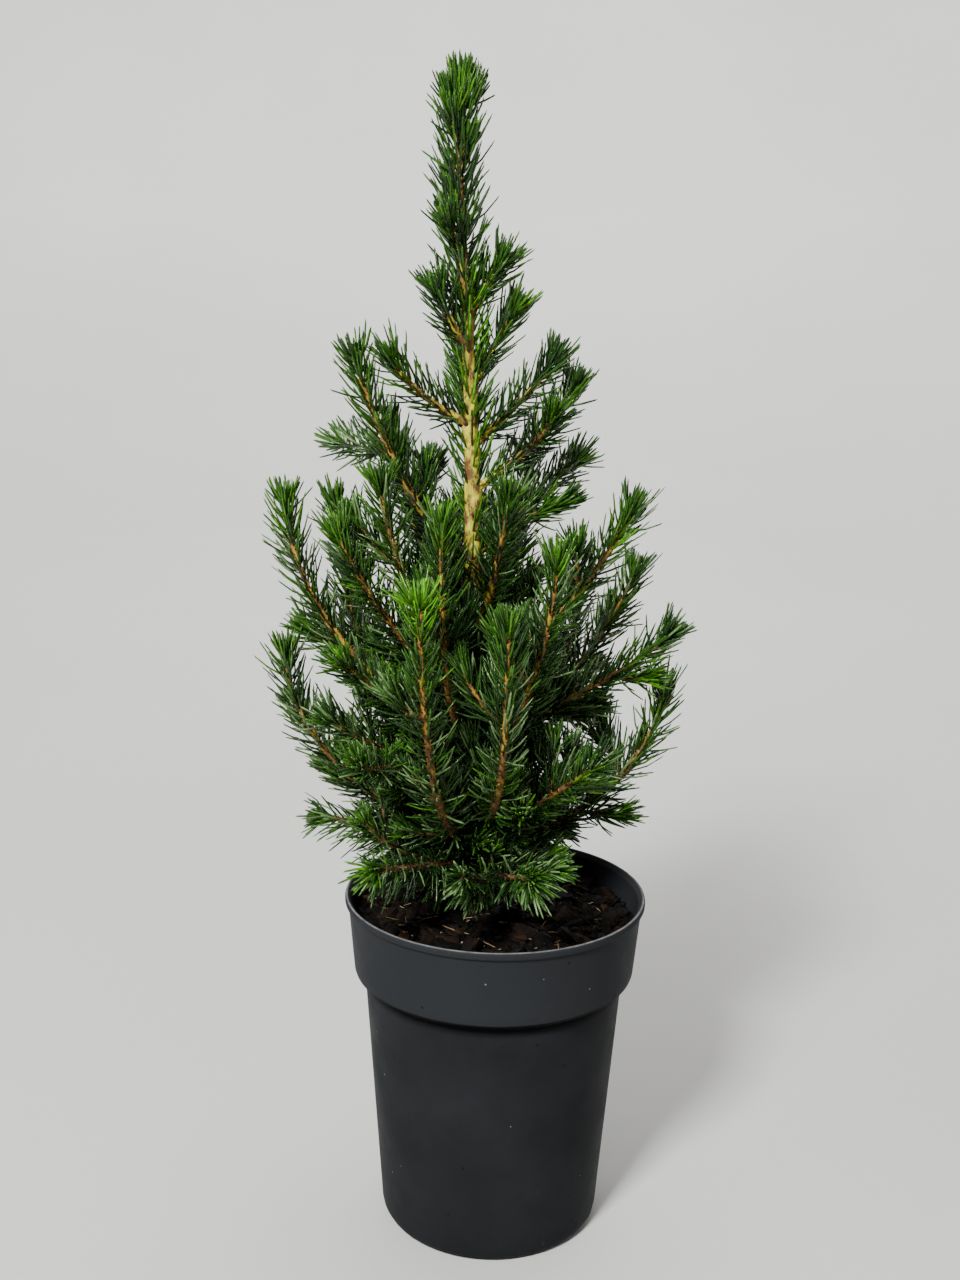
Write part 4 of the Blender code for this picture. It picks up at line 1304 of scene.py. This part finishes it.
class CONIFER_OT_pot(bpy.types.Operator):
    """Turns the pot, rounds its edges and drills its drain holes"""

    bl_idname = "conifer.pot"
    bl_label = "Pot"

    def execute(self, context):
        pot = context.scene.conifer_pot
        outline = pot_outline(pot)
        obj = start_disc(pot.sides, outline[0][0] * MM)
        raise_rings(outline)
        close_piece(obj)
        self.drill(context, obj)
        edges = obj.modifiers.new("rounded edges", "BEVEL")
        edges.width = EDGE_ROUND * MM
        edges.segments = EDGE_SEGMENTS
        edges.limit_method = "ANGLE"
        edges.angle_limit = math.radians(EDGE_ANGLE)
        apply_modifiers(obj)
        finish_piece(obj, "nursery_pot", pot_plastic(pot), ["pot"], smooth_angle=35)
        return {"FINISHED"}

    def drill(self, context, obj):
        """Cuts the drain holes with a ring of drills."""
        drills = []
        for hole in range(DRAIN_HOLES):
            angle = math.tau * (hole + 0.5) / DRAIN_HOLES
            place = Vector((math.cos(angle), math.sin(angle), 0.0)) * DRAIN_CIRCLE * MM
            bpy.ops.mesh.primitive_cylinder_add(
                vertices=DRILL_SIDES, radius=DRAIN_RADIUS * MM, depth=4 * FLOOR * MM, location=place
            )
            drills.append(context.object)
        for drill in drills:
            drill.select_set(True)
        bpy.ops.object.join()
        cutter = context.object
        cut = obj.modifiers.new("drain holes", "BOOLEAN")
        cut.operation = "DIFFERENCE"
        cut.object = cutter
        apply_modifiers(obj)
        bpy.data.objects.remove(cutter)


# Soil


def soil_rise(x, y, lump):
    """How far the soil stands above its level at a place, in millimetres."""
    rise = sum(share * noise.noise(Vector((x * scale, y * scale, z))) for scale, z, share in SOIL_LUMPS)
    return lump / MM * rise


def chip_template():
    """An uneven flat chip of unit size, with a smaller top than its middle."""
    return spindle(CHIP_RINGS, CHIP_CORNERS, *CHIP_ENDS)


def random_frames(rng, count, sizes, tilt):
    """Axes for lying shapes: turned any way round Z, tilted a little, with a size for each axis."""
    turn = rng.uniform(0.0, math.tau, count)
    lean = rng.normal(0.0, tilt, (count, 2))
    cosine, sine = np.cos(turn), np.sin(turn)
    x = unit(np.stack([cosine, sine, lean[:, 0]], 1))
    z = unit(np.stack([-lean[:, 0] * cosine + lean[:, 1], -lean[:, 0] * sine, np.ones(count)], 1))
    y = unit(np.cross(z, x))
    return np.stack([np.cross(y, z), y, z], axis=1) * sizes[..., None]


def places_on_soil(rng, count, lump, inset, heights):
    """Points spread over the soil, a little above its surface, out to an inset from its edge."""
    reach = (SOIL_HIGH.x / MM - inset) * np.sqrt(rng.uniform(0.0, 1.0, count))
    turn = rng.uniform(0.0, math.tau, count)
    x, y = reach * np.cos(turn), reach * np.sin(turn)
    rise = np.array([soil_rise(px, py, lump) for px, py in zip(x, y)])
    return np.stack([x, y, SOIL_TOP + rise + rng.uniform(*heights, count)], axis=1)


class CONIFER_OT_soil(bpy.types.Operator):
    """Fills the pot with lumpy soil and strews it with bark chips, crumbs and dry fibres"""

    bl_idname = "conifer.soil"
    bl_label = "Soil"

    def execute(self, context):
        soil = context.scene.conifer_soil
        self.bed(soil)
        rng = np.random.default_rng(SEED)
        self.chips(soil, rng)
        self.fibres(soil, rng)
        self.flecks(soil, rng)
        return {"FINISHED"}

    def bed(self, soil):
        """One closed body: a finely ringed top, and walls down inside the pot."""
        edge = SOIL_HIGH.x / MM - SOIL_INSET
        low_edge = edge - SOIL_FOOT_INSET
        obj = start_disc(SOIL_SIDES, low_edge * MM, (0.0, 0.0, SOIL_LOW.z))
        wall = [(edge - inset, height) for inset, height in SOIL_WALL]
        raise_rings([(low_edge, SOIL_LOW.z / MM), *wall, (edge, SOIL_TOP)])
        for _ in range(int(edge / SOIL_RING_STEP) - 1):
            bpy.ops.mesh.inset(thickness=SOIL_RING_STEP * MM)
        bpy.ops.mesh.poke()
        close_piece(obj)
        for vert in obj.data.vertices:
            if vert.co.z > (SOIL_TOP - 0.1) * MM:
                vert.co.z += soil_rise(vert.co.x / MM, vert.co.y / MM, soil.lump) * MM
        material = soil_material("soil_peat", soil.peat, 0.02)
        finish_piece(obj, "soil_bed", material, ["soil"], smooth_angle=60)

    def chips(self, soil, rng):
        """Bark chips and crumbs of three tones, each tone joined into one piece."""
        template, faces = chip_template()
        for name, (colour, share) in CHIP_TONES.items():
            count = int(soil.chips * share)
            length = np.clip(rng.lognormal(*CHIP_LOG_LENGTH, count), *CHIP_LENGTHS)
            across, thick = rng.uniform(*CHIP_WIDTHS, count), rng.uniform(*CHIP_DEPTHS, count)
            sizes = np.stack([length, length * across, length * thick], 1)
            places = places_on_soil(rng, count, soil.lump, CHIP_INSET, CHIP_HEIGHTS)
            frames = random_frames(rng, count, sizes, CHIP_TILT)
            points, spread = scatter(template, faces, frames, places)
            points += rng.normal(0.0, CHIP_UNEVEN, points.shape)
            material = soil_material(name, colour, GLINTS)
            obj = piece_from_arrays(name, points, spread, material)
            obj.data.shade_flat()

    def fibres(self, soil, rng):
        """Thin dry fibres that lie on the chips, all of one width."""
        template, faces = spindle(FIBRE_RINGS, 4, -0.5, 0.5)
        count = soil.fibres
        # Two widths are drawn first, which only keep the draws in order: the one width replaces them.
        sizes = np.stack([*rng.uniform(0.25, 0.5, (2, count)), rng.uniform(*FIBRE_LENGTHS, count)], 1)
        frames = unit(random_frames(rng, count, sizes, FIBRE_TILT)[:, [1, 2, 0]])
        sizes[:, :2] = FIBRE_WIDTH
        frames = frames * sizes[..., None]
        places = places_on_soil(rng, count, soil.lump, FIBRE_INSET, FIBRE_HEIGHTS)
        bends = unit(rng.normal(0.0, 1.0, (count, 3))) * sizes[:, 2:3] * FIBRE_BEND
        bends[:, 2] = np.abs(bends[:, 2]) * FIBRE_SAG
        points, spread = scatter(template, faces, frames, places, bends)
        material = bark_material("fibre", *FIBRE_COLOURS, 90.0, 0.35)
        piece_from_arrays("soil_fibres", points, spread, material)

    def flecks(self, soil, rng):
        """A few whitish mineral grains between the chips."""
        template, faces = chip_template()
        sizes = rng.uniform(*FLECK_SIZES, (FLECKS, 1)) * [FLECK_SHAPE]
        places = places_on_soil(rng, FLECKS, soil.lump, FLECK_INSET, FLECK_HEIGHTS)
        frames = random_frames(rng, FLECKS, sizes, FLECK_TILT)
        points, spread = scatter(template, faces, frames, places)
        material = soil_material("soil_flecks", FLECK_COLOUR, GLINTS)
        obj = piece_from_arrays("soil_flecks", points, spread, material)
        obj.data.shade_flat()


# Trunk, boughs and twigs


def trunk_relief(point, centre, height, relief):
    """How far the bark stands out at a point: root swellings, collars under shoots, and flakes."""
    away = point - centre
    turn = math.atan2(away[1], away[0])
    lobes = 1 + FLARE_LOBE * math.cos(FLARE_ROOTS * turn)
    swell = FLARE * math.exp(-max(height, 0.0) / FLARE_HEIGHT) * lobes
    for shoot in SHOOTS:
        drop = height - shoot.foot
        facing = math.cos(turn - math.radians(shoot.heading))
        if abs(drop) < SHOOT_COLLAR_REACH and facing > 0:
            below = (drop + SHOOT_COLLAR_DROP) / SHOOT_COLLAR_SPREAD
            swell += SHOOT_COLLAR_SWELL * facing**3 * math.exp(-(below**2))
    flakes = noise.fractal(Vector(point * FLAKE_STRETCH), *FLAKE_NOISE)
    return swell + relief / MM * flakes * (0.5 + 0.5 * min(1.0, (TRUNK_HEIGHT - height) / FLAKES_FADE))


class CONIFER_OT_trunk(bpy.types.Operator):
    """Raises the trunk ring by ring along its leaning line, and roughens its bark"""

    bl_idname = "conifer.trunk"
    bl_label = "Trunk"

    def execute(self, context):
        bark = context.scene.conifer_bark
        top = TRUNK_HEIGHT + LEADER_TIP
        heights = np.arange(-TRUNK_SUNK, top, bark.trunk_ring / MM)
        centre, radius = trunk_at(heights[0])
        obj = start_disc(bark.trunk_sides, radius * MM, Vector(centre) * MM)
        end_width, point_length = TRUNK_POINT
        for height in heights[1:]:
            above, thinner = trunk_at(height)
            scale = np.interp(height, *zip(*TRUNK_SCALE))
            thinner *= min(scale, end_width + (top - height) / point_length)
            rise = tuple((above - centre) * MM)
            bpy.ops.mesh.extrude_region_move(TRANSFORM_OT_translate={"value": rise})
            growth = thinner / radius
            bpy.ops.transform.resize(value=(growth, growth, 1.0), center_override=tuple(above * MM))
            centre, radius = above, thinner
        bpy.ops.mesh.poke()
        close_piece(obj)
        self.roughen(obj, bark.relief)
        material = bark_material("trunk_bark", bark.pale, bark.brown, BARK_PATCHES, 0.4, PALE_STRETCH)
        finish_piece(obj, "trunk_bark", material, ["trunk"], smooth_angle=80)
        return {"FINISHED"}

    def roughen(self, obj, relief):
        """Moves each point of the bark out from the trunk's line by its relief."""
        for vert in obj.data.vertices:
            point = np.array(vert.co) / MM
            height = point[2] - SOIL_TOP
            centre, _ = trunk_at(height)
            away = point - centre
            away[2] = 0.0
            if np.linalg.norm(away) > 0.05:
                vert.co += Vector(unit(away) * trunk_relief(point, centre, height, relief)) * MM


class CONIFER_OT_twigs(bpy.types.Operator):
    """Grows the boughs, shoots and twigs from the trunk, with ridged bark and scaly buds"""

    bl_idname = "conifer.twigs"
    bl_label = "Boughs and twigs"

    def execute(self, context):
        bark = context.scene.conifer_bark
        sprigs = plan_sprigs()
        shoots, twigs, tufts, inner = (
            [sprig for sprig in sprigs if sprig.kind == kind] for kind in ("shoot", "twig", "tuft", "inner")
        )
        # Each coat's name, members, sides, step, shade, share of brown, and the nodes it replaces.
        coats = (
            ("shoot_bark", shoots, 10, 0.8, 1.0, 0.4, BOUGHS + MASSES),
            ("twig_bark", twigs + tufts, 7, 0.9, 0.85, 0.46, MASSES),
            ("inner_twig_bark", inner, 5, 2.2, 0.4, 0.55, MASSES),
        )
        for name, members, sides, step, shade, brown, nodes in coats:
            pale = tinted(bark.shoot, shade)
            heart = None if members is inner else bark.pale
            material = bark_material(name, pale, bark.brown, BARK_PATCHES, brown, heart=heart)
            self.skin(name, members, sides, step, material, nodes)
        self.buds(sprigs)
        return {"FINISHED"}

    def skin(self, name, sprigs, sides, step, material, nodes):
        """Joins the tubes of some sprigs, their bark roughened by ridges."""
        all_points, all_quads, all_fans, count = [], [], [], 0
        for sprig in sprigs:
            line = resample(sprig.points, step)
            share = np.linspace(0.0, 1.0, len(line))
            radii = sprig.radii[0] + (sprig.radii[1] - sprig.radii[0]) * share**TAPER
            if sprig.kind == "shoot":
                radii += FOOT_SWELL * np.exp(-share * (len(sprig.points) - 1.0) / FOOT_SWELL_LENGTH)
            points, quads, fans, spokes = tube(line, radii, sides)
            for index, spoke in enumerate(spokes):
                place = points[index] * RIDGE_SCALE
                fine = noise.noise(Vector(RIDGE_FINER * place))
                ridge = noise.noise(Vector(place)) + RIDGE_FINE_SHARE * fine
                points[index] += spoke * (RIDGE_LEVEL + RIDGE_HEIGHT * ridge)
            all_points.append(points)
            all_quads.append(quads + count)
            all_fans.append(fans + count)
            count += len(points)
        faces = [np.concatenate(all_quads), np.concatenate(all_fans)]
        piece_from_arrays(name, np.concatenate(all_points), faces, material, nodes)

    def buds(self, sprigs):
        """Small scaly buds: one in each tip's tuft, and a few along the shoots and on the trunk."""
        rng = np.random.default_rng(SEED + 2)
        template, faces = spindle(BUD_RINGS, BUD_SIDES, BUD_ROOT)
        places, frames = [], []

        def add_bud(place, along, wide, width, length):
            places.append(place)
            frames.append([wide * width, np.cross(along, wide) * width, along * length])

        for sprig in sprigs:
            if sprig.kind == "inner":
                continue
            across, over, ahead = frames_along(sprig.points)
            size = END_BUDS[sprig.kind]
            add_bud(sprig.points[-1], ahead[-1], across[-1], size * END_BUD_WIDTH, size)
            width, length, off = SIDE_BUD
            forward, aside = SIDE_BUD_LEAN
            for index in rng.integers(len(ahead) // 4, len(ahead) - 4, SIDE_BUDS.get(sprig.kind, 0)):
                turn = rng.uniform(0.0, math.tau)
                out = math.cos(turn) * across[index] + math.sin(turn) * over[index]
                along = unit(forward * ahead[index] + aside * out)
                wide = unit(np.cross(along, out))
                add_bud(sprig.points[index] + out * off, along, wide, width, length)
        width, length, off = TRUNK_BUD
        for height, heading in TRUNK_BUDS:
            centre, radius = trunk_at(height)
            out = around_z(heading)
            along = unit(out + TRUNK_BUD_RISE)
            wide = np.array([-out[1], out[0], 0.0])
            add_bud(centre + out * (radius + off), along, wide, width, length)
        points, spread = scatter(template, faces, np.array(frames), np.array(places))
        material = bark_material("bud_scales", *BUD_COLOURS, 500.0, 0.42)
        piece_from_arrays("buds", points, spread, material)


# Needles


def needles_on(line, radii, crowding, share_from, rng, ends, spread):
    """Roots, directions, the stem's own directions and shares along it, for one line's needles.

    Ends is how many needles stand in the brush at its tip. Spread is how wide the brush opens.
    """
    length = len(line) - 1.0
    places = []
    place = share_from * length
    while place < length:
        in_tuft = ends and length - place < TUFT_ZONE
        places.append(place)
        place += rng.uniform(*STEP_RANGE) / (crowding * (TUFT_CROWDING if in_tuft else 1.0))
    places += [length - END_INSET] * ends
    places = np.array(places)
    across, over, ahead = frames_along(line)
    index = np.clip(places.astype(int), 0, len(line) - 2)
    part = (places - index)[:, None]
    centre = line[index] * (1 - part) + line[index + 1] * part
    turn = np.arange(len(places)) * GOLDEN_ANGLE + rng.normal(0.0, TURN_SPREAD, len(places))
    out = np.cos(turn)[:, None] * across[index] + np.sin(turn)[:, None] * over[index]
    from_tip = length - places if ends else np.full(len(places), FAR_FROM_TIP)
    lean = np.interp(from_tip, *zip(*LEAN_FROM_TIP)) + rng.normal(0.0, LEAN_SPREAD, len(places))
    if ends:
        low, high = END_LEAN
        lean[-ends:] = low + (high - low) * np.sqrt(rng.uniform(0.0, 1.0, ends))
        lean = np.minimum(lean * np.interp(from_tip, (0.0, SPREAD_ZONE), (spread, 1.0)), MOST_LEAN)
    lean = np.radians(lean)[:, None]
    share = places / length
    radius = (radii[0] + (radii[1] - radii[0]) * share)[:, None]
    directions = np.cos(lean) * ahead[index] + np.sin(lean) * out
    return centre + out * radius * ROOT_DEPTH, directions, ahead[index], share


def spray_tone(share, fresh, length, rng):
    """How light each needle is, 0 to 1: dealt out by spray, and lightest at a fresh shoot's tip."""
    sprays = (share * length / SPRAY_LENGTH).astype(int)
    by_spray = rng.uniform(-SPRAY_SPREAD, SPRAY_SPREAD, sprays.max() + 1)[sprays]
    reach, width = TIP_ZONE
    to_tip = np.clip((share * length - (length - reach)) / width, 0.0, 1.0)
    light = TONE_AT_FOOT + TONE_TO_TIP * share + TONE_OF_TIP * to_tip
    light += fresh * TONE_OF_FRESH * to_tip**FRESH_CURVE
    return light + by_spray + rng.normal(0.0, TONE_SPREAD, len(share))


def brushed(directions, aheads, from_tip):
    """How much shorter needles are near a stem's tip, so that they end in one flat brush."""
    forward = (directions * aheads).sum(1)
    in_brush = np.interp(from_tip, BRUSH_ZONE, (1.0, 0.0))
    return 1.0 - in_brush * (1.0 - np.interp(forward, *zip(*BRUSH_LENGTHS)))


def keep_clear(roots, tips):
    """Which needles stay above the soil and away from the pot's rim."""
    middle = (roots + tips) / 2
    ok = tips[:, 2] > SOIL_TOP + SOIL_CLEAR
    over_rim, inside_rim = RIM_CLEAR
    for points in (middle, tips):
        radius = np.hypot(points[:, 0], points[:, 1])
        low = points[:, 2] < POT_TOP.z / MM + over_rim
        ok &= ~(low & (radius > POT_TOP.x / MM - inside_rim))
    return ok


class CONIFER_OT_needles(bpy.types.Operator):
    """Sets every needle on its stem, with woody pegs along the shoots, side twigs and trunk, and joins the
    needles by tint
    """

    bl_idname = "conifer.needles"
    bl_label = "Needles"

    def execute(self, context):
        settings = context.scene.conifer_needles
        rng = np.random.default_rng(SEED + 3)
        pegs = []
        sets = [self.on_sprig(sprig, settings, rng, pegs) for sprig in plan_sprigs()]
        sets += [self.on_trunk(stretch, settings, rng, pegs) for stretch in STRETCHES]
        self.pegs(pegs, context.scene.conifer_bark, rng)
        columns = [np.concatenate(column) for column in zip(*sets)]
        kept = keep_clear(columns[0], columns[0] + columns[1] * columns[4][:, None])
        roots, directions, aheads, tones, lengths, lifts = (column[kept] for column in columns)
        frames, bends = self.shape(directions, aheads, lengths, lifts, settings, rng)
        tint_of = np.searchsorted(TINT_STEPS, tones)
        # Some needles take the silver tint, partly their pale banded side and partly a painted highlight,
        # most of them low in the crown.
        silver_and_sheen_needles = rng.random(len(tones)) < np.interp(roots[:, 2] - SOIL_TOP, *zip(*SILVER_AND_SHEEN_SHARE))
        tint_of[silver_and_sheen_needles & (tones < SILVER_AND_SHEEN_BELOW)] = TINTS.index("silver")
        template, faces = spindle(NEEDLE_RINGS, NEEDLE_SIDES, NEEDLE_ROOT)
        triangles = sum(len(part) * (part.shape[1] - 2) for part in faces)
        for number, tint in enumerate(TINTS):
            chosen = np.flatnonzero(tint_of == number)
            material = needle_material("needles_" + tint, getattr(settings, tint))
            batches = max(1, math.ceil(len(chosen) / (MOST_TRIANGLES // triangles)))
            for batch, index in enumerate(np.array_split(chosen, batches)):
                points, spread = scatter(template, faces, frames[index], roots[index], bends[index])
                name = f"needles_{tint}_{batch + 1}"
                piece_from_arrays(name, points, spread, material, MASSES)
        print("needles", len(roots), "triangles", len(roots) * triangles)
        return {"FINISHED"}

    def pegs(self, pegs, bark, rng):
        """The woody pegs under the needles of every shoot, side twig and the trunk, as one piece."""
        roots, directions, aheads = (np.concatenate(column) for column in zip(*pegs))
        along = unit(directions + PEG_FORWARD * aheads)
        wide = unit(np.cross(along, aheads + rng.normal(0.0, PEG_ROLL, aheads.shape)))
        sizes = np.array(PEG_SIZE) * rng.normal(1.0, PEG_SPREAD, (len(roots), 1))
        frames = np.stack([wide, np.cross(along, wide), along], axis=1) * sizes[..., None]
        template, faces = spindle(PEG_RINGS, PEG_SIDES, *PEG_ENDS)
        points, spread = scatter(template, faces, frames, roots)
        pale = tinted(bark.shoot, 0.9)
        material = bark_material("peg_bark", pale, bark.brown, 420.0, 0.46, heart=bark.pale)
        piece_from_arrays("needle_pegs", points, spread, material)

    def on_sprig(self, sprig, settings, rng, pegs):
        """Needles over one sprig: sparser on its old inner stretch, tufted at its tip."""
        length = len(sprig.points) - 1.0
        skirt = sprig.owner in DROOP
        habit = HABITS["inner" if sprig.kind == "inner" else "skirt" if skirt else "usual"]
        spread = USUAL_SPREAD.get(sprig.kind, 1.0)
        fresh = TWIG_FRESH
        if sprig.kind == "shoot":
            spread = TUFT_SPREAD.get(sprig.owner, spread)
            fresh = FRESH.get(sprig.owner, FRESH_ELSEWHERE)
        start = {"tuft": TUFT_FROM, "inner": NEEDLES_FROM}.get(sprig.kind, PEGS_FROM)
        ends = END_NEEDLES[sprig.kind]
        crowding = settings.crowding * habit.crowding
        columns = needles_on(sprig.points, sprig.radii, crowding, start, rng, ends, spread)
        if sprig.kind in ("shoot", "twig"):
            pegs.append(tuple(column[:-ends] for column in columns[:3]))
        roots, directions, aheads, share = (column[columns[3] >= NEEDLES_FROM] for column in columns)
        brush = brushed(directions, aheads, (1.0 - share) * length)
        if skirt:
            directions[:, 2] -= DROOP[sprig.owner] * np.clip(DROOP_FROM - directions[:, 2], 0.0, MOST_DROOP)
        else:
            directions[:, 2] += TURN_UP
        tones = spray_tone(share, fresh, length, rng) + habit.tone
        usual = settings.length / MM
        lengths = usual * rng.normal(1.0, LENGTH_SPREAD, len(share)) * np.interp(share, *LENGTHS_ALONG)
        lengths = np.clip(lengths * (brush * habit.length), *(limit * usual for limit in LENGTH_LIMITS))
        lifts = np.full(len(share), SKIRT_LIFT if skirt else NEEDLE_LIFT)
        return roots, unit(directions), aheads, tones, lengths, lifts

    def on_trunk(self, stretch, settings, rng, pegs):
        """Needles on one stretch of the trunk. Few stay on the front of its bare part."""
        heights = np.linspace(stretch.low, stretch.high, TRUNK_POINTS)
        line = resample(np.array([trunk_at(height)[0] for height in heights]), SPRIG_STEP)
        radii = (trunk_at(stretch.low)[1], trunk_at(stretch.high)[1])
        ends = END_NEEDLES["leader"] if stretch.brush else 0
        columns = needles_on(line, radii, stretch.crowding, 0.0, rng, ends, LEADER_SPREAD)
        roots, directions, aheads, share = columns
        pegs.append((roots, directions, aheads))
        directions = unit(directions + aheads * TRUNK_FORWARD)
        tones = spray_tone(share, FRESH["leader_top"], len(line), rng) + stretch.lighter
        lengths = settings.length / MM * rng.normal(stretch.length, TRUNK_LENGTH_SPREAD, len(share))
        if stretch.brush:
            least, more = LEADER_BRUSH
            lengths *= least + more * brushed(directions, aheads, (1.0 - share) * len(line))
        lifts = np.full(len(share), NEEDLE_LIFT)
        on_leader = roots[:, 2] > SOIL_TOP + BARE_TRUNK[1]
        clear = (directions[:, 1] > FRONT_FACING) | on_leader | (rng.random(len(share)) < FRONT_KEPT)
        return tuple(column[clear] for column in (roots, directions, aheads, tones, lengths, lifts))

    def shape(self, directions, aheads, lengths, lifts, settings, rng):
        """Each needle's three scaled axes, and how far its tip bends forward and up."""
        across = unit(np.cross(directions, aheads + rng.normal(0.0, ROLL_SPREAD, aheads.shape)))
        over = np.cross(directions, across)
        width = settings.width / MM * rng.normal(1.0, WIDTH_SPREAD, len(lengths))
        sizes = np.stack([width, width * NEEDLE_THICKNESS, lengths], axis=1)
        frames = np.stack([across, over, directions], axis=1) * sizes[..., None]
        bends = (aheads - directions * (aheads * directions).sum(1, keepdims=True)) * NEEDLE_BEND
        bends[:, 2] += lifts
        return frames, bends * (lengths * rng.uniform(*BEND_RANGE, len(lengths)))[:, None]


# Stage


def area_light(name, place, size, aim, power):
    """A soft square light that points at a place."""
    data = bpy.data.lights.new(name, "AREA")
    data.size = size
    data.energy = power
    light = bpy.data.objects.new(name, data)
    light.location = place
    light.rotation_euler = (Vector(aim) - Vector(place)).to_track_quat("-Z", "Y").to_euler()
    bpy.context.scene.collection.objects.link(light)


class CONIFER_OT_stage(bpy.types.Operator):
    """Sets up the round floor and cove, the soft lights and the camera"""

    bl_idname = "conifer.stage"
    bl_label = "Stage"

    def execute(self, context):
        stage = context.scene.conifer_stage
        self.floor(stage)
        self.lights(stage)
        self.camera(context)
        return {"FINISHED"}

    def floor(self, stage):
        """A round floor whose edge turns up into a wall."""
        obj = start_disc(COVE_SIDES, stage.radius)
        bpy.ops.mesh.select_mode(type="EDGE")
        for number in range(1, COVE_STEPS + 1):
            angle, before = (math.radians(90) * k / COVE_STEPS for k in (number, number - 1))
            rise = COVE_BEND * (math.cos(before) - math.cos(angle))
            bpy.ops.mesh.extrude_edges_move(TRANSFORM_OT_translate={"value": (0, 0, rise)})
            radius, inner = (stage.radius + COVE_BEND * math.sin(turn) for turn in (angle, before))
            growth = radius / inner
            bpy.ops.transform.resize(value=(growth, growth, 1.0), center_override=(0, 0, 0))
        bpy.ops.mesh.extrude_edges_move(TRANSFORM_OT_translate={"value": (0, 0, COVE_WALL)})
        bpy.ops.object.mode_set(mode="OBJECT")
        obj.name = obj.data.name = "studio_cove"
        obj.data.materials.append(stage_material(stage.paint))
        obj.data.shade_smooth()

    def lights(self, stage):
        """A key light at the front left, a fill on the right, one from above and one on the wall."""
        for name, (place, size, aim) in LIGHTS.items():
            area_light(name, place, size, aim, getattr(stage, name))
        world = bpy.data.worlds.new("studio")
        world.use_nodes = True
        room = world.node_tree.nodes["Background"].inputs
        room["Color"].default_value = ROOM_COLOUR
        room["Strength"].default_value = ROOM_STRENGTH
        bpy.context.scene.world = world

    def camera(self, context):
        """The camera, level with the crown and looking a little down on it."""
        data = bpy.data.cameras.new("camera")
        data.lens = CAMERA_LENS
        pitch, roll = math.radians(CAMERA_PITCH), math.radians(CAMERA_ROLL)
        forward = Vector((0.0, math.cos(pitch), -math.sin(pitch)))
        right = Vector((1.0, 0.0, 0.0))
        up = right.cross(forward)
        rolled_right = math.cos(roll) * right + math.sin(roll) * up
        rolled_up = math.cos(roll) * up - math.sin(roll) * right
        camera = bpy.data.objects.new("camera", data)
        turn = Matrix((rolled_right, rolled_up, -forward)).transposed().to_4x4()
        camera.matrix_world = Matrix.Translation(CAMERA_PLACE) @ turn
        context.scene.collection.objects.link(camera)
        context.scene.camera = camera


OPERATORS = (
    CONIFER_OT_pot,
    CONIFER_OT_soil,
    CONIFER_OT_trunk,
    CONIFER_OT_twigs,
    CONIFER_OT_needles,
    CONIFER_OT_stage,
)
SETTINGS = {
    "conifer_pot": PotSettings,
    "conifer_soil": SoilSettings,
    "conifer_bark": BarkSettings,
    "conifer_needles": NeedleSettings,
    "conifer_stage": StageSettings,
}


class CONIFER_PT_panel(bpy.types.Panel):
    """Lists the pieces, each with a button, and the settings under them"""

    bl_idname = "CONIFER_PT_panel"
    bl_label = "Potted Conifer"
    bl_space_type = "VIEW_3D"
    bl_region_type = "UI"
    bl_category = "Conifer"

    def draw(self, context):
        for operator in OPERATORS:
            self.layout.operator(operator.bl_idname)
        for name in SETTINGS:
            box = self.layout.box()
            settings = getattr(context.scene, name)
            for prop in settings.bl_rna.properties:
                if prop.identifier not in ("rna_type", "name"):
                    box.prop(settings, prop.identifier)


def register():
    for group in SETTINGS.values():
        bpy.utils.register_class(group)
    for name, group in SETTINGS.items():
        setattr(bpy.types.Scene, name, bpy.props.PointerProperty(type=group))
    for operator in OPERATORS:
        bpy.utils.register_class(operator)
    bpy.utils.register_class(CONIFER_PT_panel)


def unregister():
    bpy.utils.unregister_class(CONIFER_PT_panel)
    for operator in reversed(OPERATORS):
        bpy.utils.unregister_class(operator)
    for name, group in SETTINGS.items():
        delattr(bpy.types.Scene, name)
        bpy.utils.unregister_class(group)


def main():
    register()
    bpy.ops.conifer.pot()
    bpy.ops.conifer.soil()
    bpy.ops.conifer.trunk()
    bpy.ops.conifer.twigs()
    bpy.ops.conifer.needles()
    bpy.ops.conifer.stage()
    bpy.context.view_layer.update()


if __name__ == "__main__":
    main()
